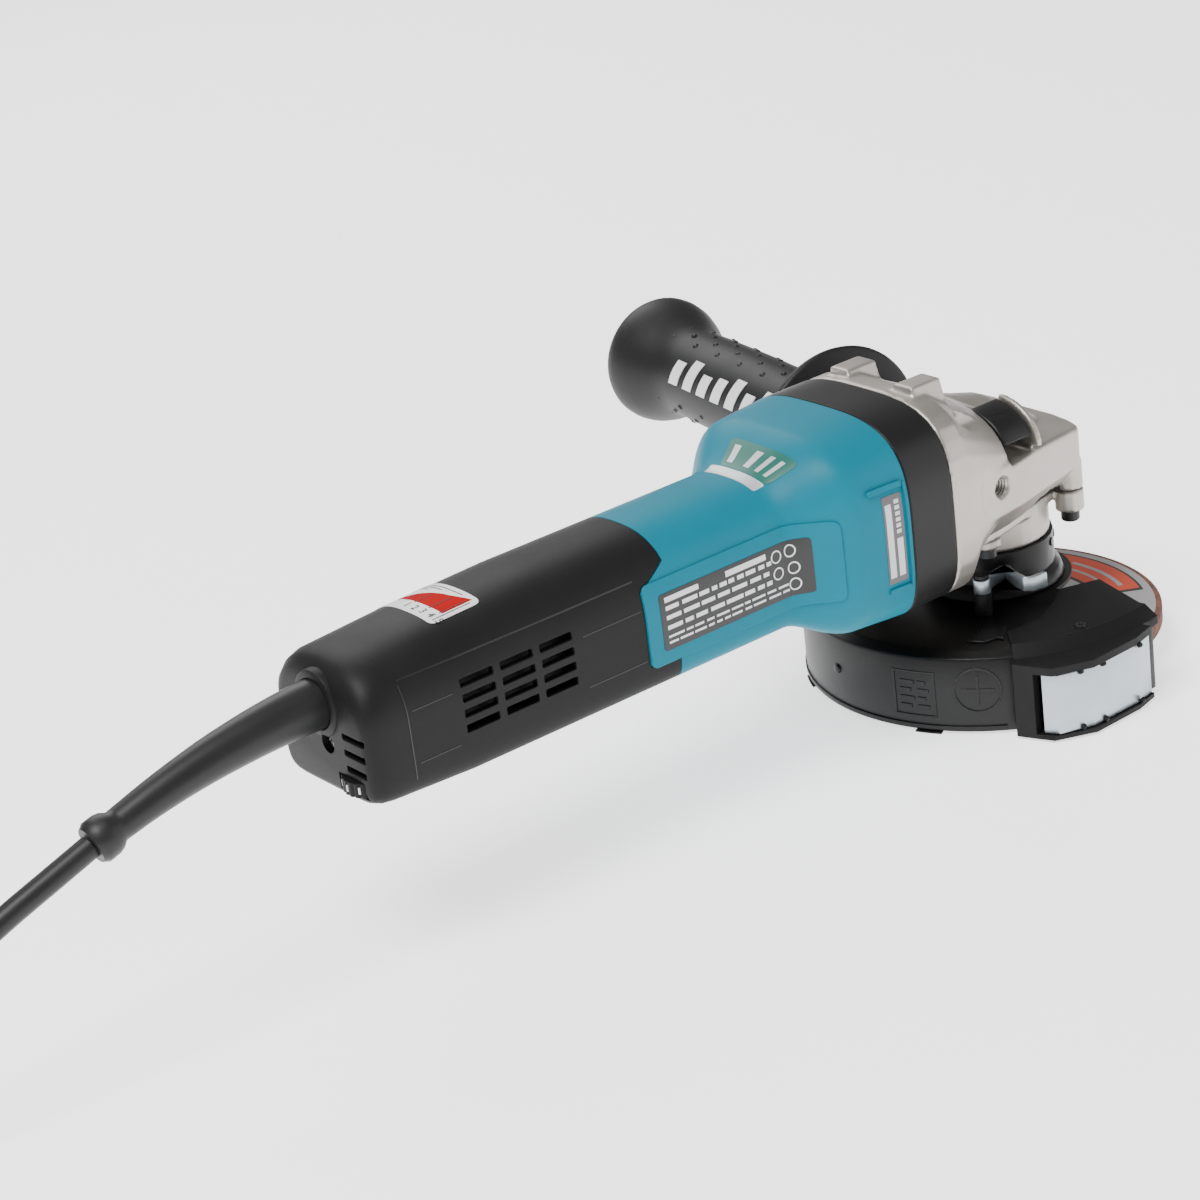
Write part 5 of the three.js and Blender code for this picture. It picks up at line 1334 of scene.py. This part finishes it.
@dataclass
class Wheel:
    """The grinding wheel with its paper, print, flange and nut."""

    radius: float = 62.5
    rim_z: float = 3.7
    thick: float = 6.0
    rise: float = 4.5

    def build(self) -> None:
        """Builds and places the pieces."""
        lo, hi = self.rim_z, self.rim_z + self.thick
        r = self.radius
        body = Piece("grinding_wheel").lathe([
            (11.1, lo + self.rise), (21.5, lo + self.rise), (23.5, lo + self.rise - 0.6), (27, lo + 0.4),
            (29, lo), (r - 0.6, lo),
            (r, lo + 0.5), (r, hi - 0.6), (r - 0.7, hi), (31, hi), (29.5, hi + 0.3),
            (25.5, hi + self.rise - 0.4),
            (24, hi + self.rise), (11.1, hi + self.rise),
        ], UP, 200).build(GRIT)
        place(body, "spindle_set", "abrasive", "wheel")
        face = hi + 0.12
        self._ring("wheel_paper", 30.6, 60.2, (0, 360), face, WHEEL_PAPER)
        self._ring("wheel_print_edge", 38.5, 57.2, (-34, 24), face + 0.06, DARK_PRINT)
        self._ring("wheel_print", 40, 56.2, (-32, 22), face + 0.12, WARM_PRINT)
        self._ring("wheel_print_line", 44.4, 45.8, (-27, 17), face + 0.18, WHEEL_PAPER)
        self._ring("wheel_print_line_2", 49.4, 51.2, (-27, 8), face + 0.18, WHEEL_PAPER)
        self._ring("wheel_print_far", 40.5, 55.5, (150, 210), face + 0.06, DARK_PRINT)
        under = self.rim_z - 0.12
        self._ring("wheel_paper_under", 30, 55, (0, 360), under + 0.1, WHEEL_PAPER)
        nut = Piece("lock_nut_body").lathe([
            (7.3, 2.2), (11.5, 2.2), (12.5, 3.2), (19.4, 3.2), (20, 3.8), (20, 7.4), (19.5, 7.9), (7.3, 7.9),
        ], UP, 96).build(OXIDE)
        Bench.carve(nut, [rod(f"pin hole {x}", 2.4, (-1, 5.7), axis_at((x, 0, 0), (0, 0, 1)),
                              24) for x in (15, -15)])
        place(Bench.tidy(nut, OXIDE), "spindle_set", "black_fixings", "lock_nut")

    def _ring(self, name: str, inner: float, outer: float, span: tuple[float, float], z: float,
              finish: Finish) -> None:
        """A thin flat ring or part of one.

        Args:
            name: the object's name.
            inner: inner radius.
            outer: outer radius.
            span: first and last angle.
            z: its upper face.
            finish: its finish.
        """
        profile = [(inner, z - 0.1), (outer, z - 0.1), (outer, z), (inner, z)]
        full = span[1] - span[0] >= 360
        thing = Piece(name).lathe(profile, UP, 180, None if full else span).build(finish)
        place(thing, "spindle_set", "abrasive")


# ------------------------------------------------------------------ side handle


@dataclass
class SideHandle:
    """The side handle: soft grip with studs, flange, and a generic printed mark."""

    origin: Point = (-33.5, 0.0, 78.3)
    lean: float = math.radians(8.7)
    seat: float = 39.5
    end: float = 186.2
    mark_side: Point = (-0.85, 0.13, 0.42)

    def build(self) -> None:
        """Builds and places the pieces."""
        s, e = self.seat, self.end
        direction = (math.sin(self.lean), math.cos(self.lean), 0.0)
        axis = axis_at(self.origin, direction)
        outline = [
            (10.3, s + 7), (14, s + 7), (24, s + 7.3), (33.6, s + 8.0), (34.8, s + 8.8), (35, s + 9.7),
            (34.6, s + 10.9), (33, s + 11.5),
            (27, s + 12.4), (22.4, s + 13.4), (19.8, s + 14.9), (18.3, s + 16.8), (17.5, s + 20),
            (17.3, s + 23), (17.5, s + 32), (17.9, s + 45),
            (18.1, s + 62), (18.1, s + 78), (17.9, e - 46), (17.6, e - 38), (17.9, e - 33), (19.1, e - 28.5),
            (21.2, e - 23.5),
            (23.4, e - 18.2), (24.9, e - 13.4), (25.4, e - 9.6), (25.2, e - 6.6), (24.2, e - 4.2),
            (22.2, e - 2.2), (18.6, e - 0.8),
            (13.5, e - 0.1), (11.5, e), (10.3, e - 0.4),
        ]
        grip = Piece("handle_grip_skin").lathe(outline, axis, 128).build(SOFT, 50)
        place(grip, "handle", "soft_rubber", "handle_grip")
        collar = Piece("handle_shoulder").lathe([
            (4.0, s), (11.9, s), (12.5, s + 0.6), (12.5, s + 6.6), (4.0, s + 6.6),
        ], axis, 64).build(STEEL)
        place(collar, "handle", "machined_steel")
        spots = []
        for row in range(11):
            along = s + 34 + row * 8.2
            for k in range(12):
                out = spoke(2 * math.pi * (k + 0.5 * (row % 2)) / 12)
                n = axis.to_3x3() @ out
                spot = axis @ Vector((18.0 * out.x, 18.0 * out.y, along))
                if n.dot(Vector(self.mark_side).normalized()) < 0.8:
                    spots.append((spot, n))
        place(Repeater("grip studs", 12, SOFT).make("grip_studs", spots, 1.25, 0.7, 0.5), "handle",
              "soft_rubber")
        self._mark(axis, s)

    def _mark(self, axis: Matrix, s: float) -> None:
        """A plain row of pale slanted blocks along the grip.

        Args:
            axis: the handle's frame.
            s: the seat's distance along it.
        """
        mark = Piece("grip_blocks")
        toward = axis.to_3x3().inverted() @ Vector(self.mark_side)
        middle = math.degrees(math.atan2(toward.y, toward.x))
        low = -16
        for k, high in enumerate((24, 12, 24, 16, 12, 24, 16)):
            start = s + 36 + 10.4 * k
            rows = []
            for i in range(7):
                row = []
                for j in range(13):
                    share = j / 12
                    out = spoke(math.radians(middle + low + (high - low) * share))
                    along = start + 6.2 * i / 6 - 3.5 * (high - low) / 40 * share
                    row.append((axis @ Vector((18.28 * out.x, 18.28 * out.y, along)), axis.to_3x3() @ out))
                rows.append(row)
            mark.sheet(rows, 0.6)
        place(mark.build(LABEL_WHITE), "handle", "soft_rubber")


# ------------------------------------------------------------------ cord


@dataclass
class Cord:
    """The cord: boot, free run, coil and tail, running up to its plug."""

    radius: float = 4.0
    exit_z: float = 86.6
    lie: float = -2.0
    centre: tuple[float, float] = (-594.0, 56.0)
    outer: float = 56.0

    def _spline(self, points: Sequence[Point], steps: int) -> list[Vector]:
        """A smooth line through points.

        Args:
            points: what it goes through.
            steps: points made on each stretch.

        Returns:
            The line's points.
        """
        p = [Vector(q) for q in points]
        p = [p[0] * 2 - p[1], *p, p[-1] * 2 - p[-2]]
        line = []
        for a, b, c, d in zip(p, p[1:], p[2:], p[3:]):
            for k in range(steps):
                t = k / steps
                bend = (2 * a - 5 * b + 4 * c - d) * t * t
                twist = (3 * b - a - 3 * c + d) * t ** 3
                line.append(0.5 * (2 * b + (c - a) * t + bend + twist))
        line.append(p[-2].copy())
        return line

    def route(self) -> list[Vector]:
        """The cord's centre line from the boot to the plug.

        Returns:
            Its points.
        """
        z = self.exit_z
        free = self._spline([
            (-382.4, 0, z - 14.9), (-398, 0, 66.4), (-416, 0, 60.2), (-436, 0, 52), (-455, 0, 42.4),
            (-472, 0, 32.2),
            (-488, 0, 21.8), (-503, 0, 12.6), (-518, 0, 5), (-533, 0, 0.3), (-548, 0, self.lie),
            (-556, 0, self.lie),
            (-563.7, 0, self.lie), (-579, 0, self.lie),
        ], 3)
        cx, cy = self.centre
        pitch, steps = 2 * self.radius, 40
        coil = []
        turns_in, turns_out = 3.5, 4.0
        for k in range(int(turns_in * steps) + 1):
            t = k / steps
            r = self.outer - pitch * t
            rise = min(1.0, max(0.0, (t - 3.2) / 0.3))
            a = math.radians(-90) - 2 * math.pi * t
            coil.append(Vector((cx + r * math.cos(a), cy + r * math.sin(a), self.lie + pitch * rise)))
        r0 = self.outer - pitch * turns_in
        for k in range(1, int(turns_out * steps) + 1):
            t = k / steps
            r = r0 + (self.outer - r0) * min(1.0, t / 3.6)
            a = math.radians(-90) - 2 * math.pi * (turns_in + t)
            coil.append(Vector((cx + r * math.cos(a), cy + r * math.sin(a), self.lie + pitch)))
        plug_z = self.lie + 2.2
        tail = self._spline([
            (cx + 9, cy + self.outer, self.lie + 7.9), (cx + 20, cy + self.outer, self.lie + 7.0),
            (cx + 34, cy + self.outer, self.lie + 4.2),
            (cx + 50, cy + self.outer, plug_z + 0.1), (cx + 62, cy + self.outer, plug_z),
        ], 4)
        return free + coil + tail

    def build(self) -> None:
        """Builds and places the cord and its boot."""
        line = self.route()
        curve = bpy.data.curves.new("mains_cord", "CURVE")
        curve.dimensions = "3D"
        curve.bevel_depth = self.radius * MM
        curve.bevel_resolution = 5
        curve.use_fill_caps = True
        spline = curve.splines.new("POLY")
        spline.points.add(len(line) - 1)
        for point, place_at in zip(spline.points, line):
            point.co = (*(place_at * MM), 1)
        spline.use_smooth = True
        curve.materials.append(FLEX.material())
        flex = added("mains_cord", curve)
        place(flex, "housing", "soft_rubber", "cord", "cord_coil")
        self._boot()

    def _boot(self) -> None:
        """The tapered strain relief with its end collar."""
        z = self.exit_z
        line = self._spline([
            (-282, 0, z + 0.2), (-292, 0, z + 0.2), (-302, 0, z), (-312, 0, z - 0.5), (-325, 0, z - 1.8),
            (-341, 0, z - 4.2),
            (-360, 0, z - 8.4), (-382, 0, z - 14.8),
        ], 12)
        far = sum((b - a).length for a, b in zip(line, line[1:]))
        marks = [(0, 6), (1.5, 10.6), (6.0, 10.6), (6.3, 8.6), (20, 8.5), (36, 7.9), (52, 7.2), (68, 6.4),
                 (84, 5.7),
                 (far - 8.5, 5.4), (far - 8, 6.6), (far - 7.2, 7.3), (far - 2.0, 7.4), (far - 0.8, 7.0),
                 (far, 6.2)]
        rings, gone = [], 0.0
        for k, p in enumerate(line):
            if k:
                gone += (p - line[k - 1]).length
            before, after = line[max(k - 1, 0)], line[min(k + 1, len(line) - 1)]
            heading = (after - before).normalized()
            side = Vector((0, 1, 0))
            over = side.cross(heading).normalized()
            r = marks[-1][1]
            for (d0, r0), (d1, r1) in zip(marks, marks[1:]):
                if d0 <= gone <= d1:
                    r = r0 + (r1 - r0) * (gone - d0) / (d1 - d0)
            turns = [2 * math.pi * i / 48 for i in range(48)]
            rings.append([p + side * r * math.cos(a) + over * r * math.sin(a) for a in turns])
        boot = Piece("cord_boot").loft(rings).build(FLEX, 50)
        place(boot, "housing", "soft_rubber", "cord_guard")


# ------------------------------------------------------------------ studio


@dataclass
class Studio:
    """Camera, lights and floor."""

    yaw: float = -35.69
    pitch: float = 23.19
    roll: float = -7.49
    eye: Point = (-756.3, -801.4, 503.1)
    lens: float = 95.35
    floor_z: float = -6.25
    target: Point = (-0.12, 0.0, 0.05)
    daylight: float = 0.34

    def camera(self) -> None:
        """Makes the camera."""
        a, e, r = (math.radians(v) for v in (self.yaw, self.pitch, self.roll))
        back = Vector((math.sin(a) * math.cos(e), -math.cos(a) * math.cos(e), math.sin(e)))
        right = Vector((math.cos(a), math.sin(a), 0))
        up = back.cross(right)
        side = right * math.cos(r) + up * math.sin(r)
        head = -right * math.sin(r) + up * math.cos(r)
        lens = bpy.data.cameras.new("studio camera")
        lens.lens = self.lens
        lens.sensor_width = 36
        lens.clip_start, lens.clip_end = 0.05, 20
        eye = added("studio camera", lens)
        aim = Matrix((side, head, back)).transposed().to_4x4()
        eye.matrix_world = Matrix.Translation(Vector(self.eye) * MM) @ aim
        bpy.context.scene.camera = eye

    def lamp(self, name: str, at: Point, size: float, watts: float) -> None:
        """Adds a soft square light aimed at the tool.

        Args:
            name: its name.
            at: its place in metres.
            size: its side in metres.
            watts: its power.
        """
        data = bpy.data.lights.new(name, "AREA")
        data.size = size
        data.energy = watts
        light = added(name, data)
        aim = Vector(self.target) - Vector(at)
        light.rotation_mode = "QUATERNION"
        light.rotation_quaternion = aim.to_track_quat("-Z", "Y")
        light.location = at

    def build(self) -> None:
        """Builds the lights and the floor."""
        world = bpy.data.worlds.new("studio")
        world.use_nodes = True
        sky = world.node_tree.nodes["Background"]
        sky.inputs[0].default_value = (1, 1, 1, 1)
        sky.inputs[1].default_value = self.daylight
        bpy.context.scene.world = world
        self.lamp("key", (-0.9, -0.2, 1.5), 0.8, 38)
        self.lamp("fill", (1.1, -1.3, 0.7), 1.2, 9)
        self.lamp("rim", (0.3, 1.4, 1.1), 1.0, 14)
        floor = Piece("studio_floor").prism([(-9000, -9000), (9000, -9000), (9000, 9000), (-9000, 9000)],
                                            self.floor_z - 20, self.floor_z).build(PALE_FLOOR)


def dress_nodes() -> None:
    """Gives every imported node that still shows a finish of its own."""
    finishes = {
        "teal_shell": TEAL, "charcoal_shell": CHARCOAL, "cast_head": CAST, "black_fixings": OXIDE,
        "black_sheet": POWDER,
        "plated_sheet": ZINC, "machined_steel": STEEL, "laminations": STEEL, "copper": COPPER,
        "carbon": CHARCOAL,
        "sheet_holders": COPPER, "board": CHARCOAL, "soft_rubber": SOFT, "abrasive": GRIT, "tie": CHARCOAL,
    }
    for entry in FRAME["record"]["subparts"]:
        node = FRAME["nodes"][entry["node"]]
        finish = finishes[entry["material_slot"]]
        node.data.materials.clear()
        node.data.materials.append(finish.material())


def main() -> None:
    """Builds every sub-assembly in order."""
    logging.basicConfig(level=logging.INFO, format="%(message)s")
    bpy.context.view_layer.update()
    studio = Studio()
    studio.camera()
    Cord().build()
    dress_nodes()
    MotorBody().build()
    GearHead().build()
    Guard().build()
    Wheel().build()
    SideHandle().build()
    studio.build()


if __name__ == "__main__":
    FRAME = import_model()
    main()
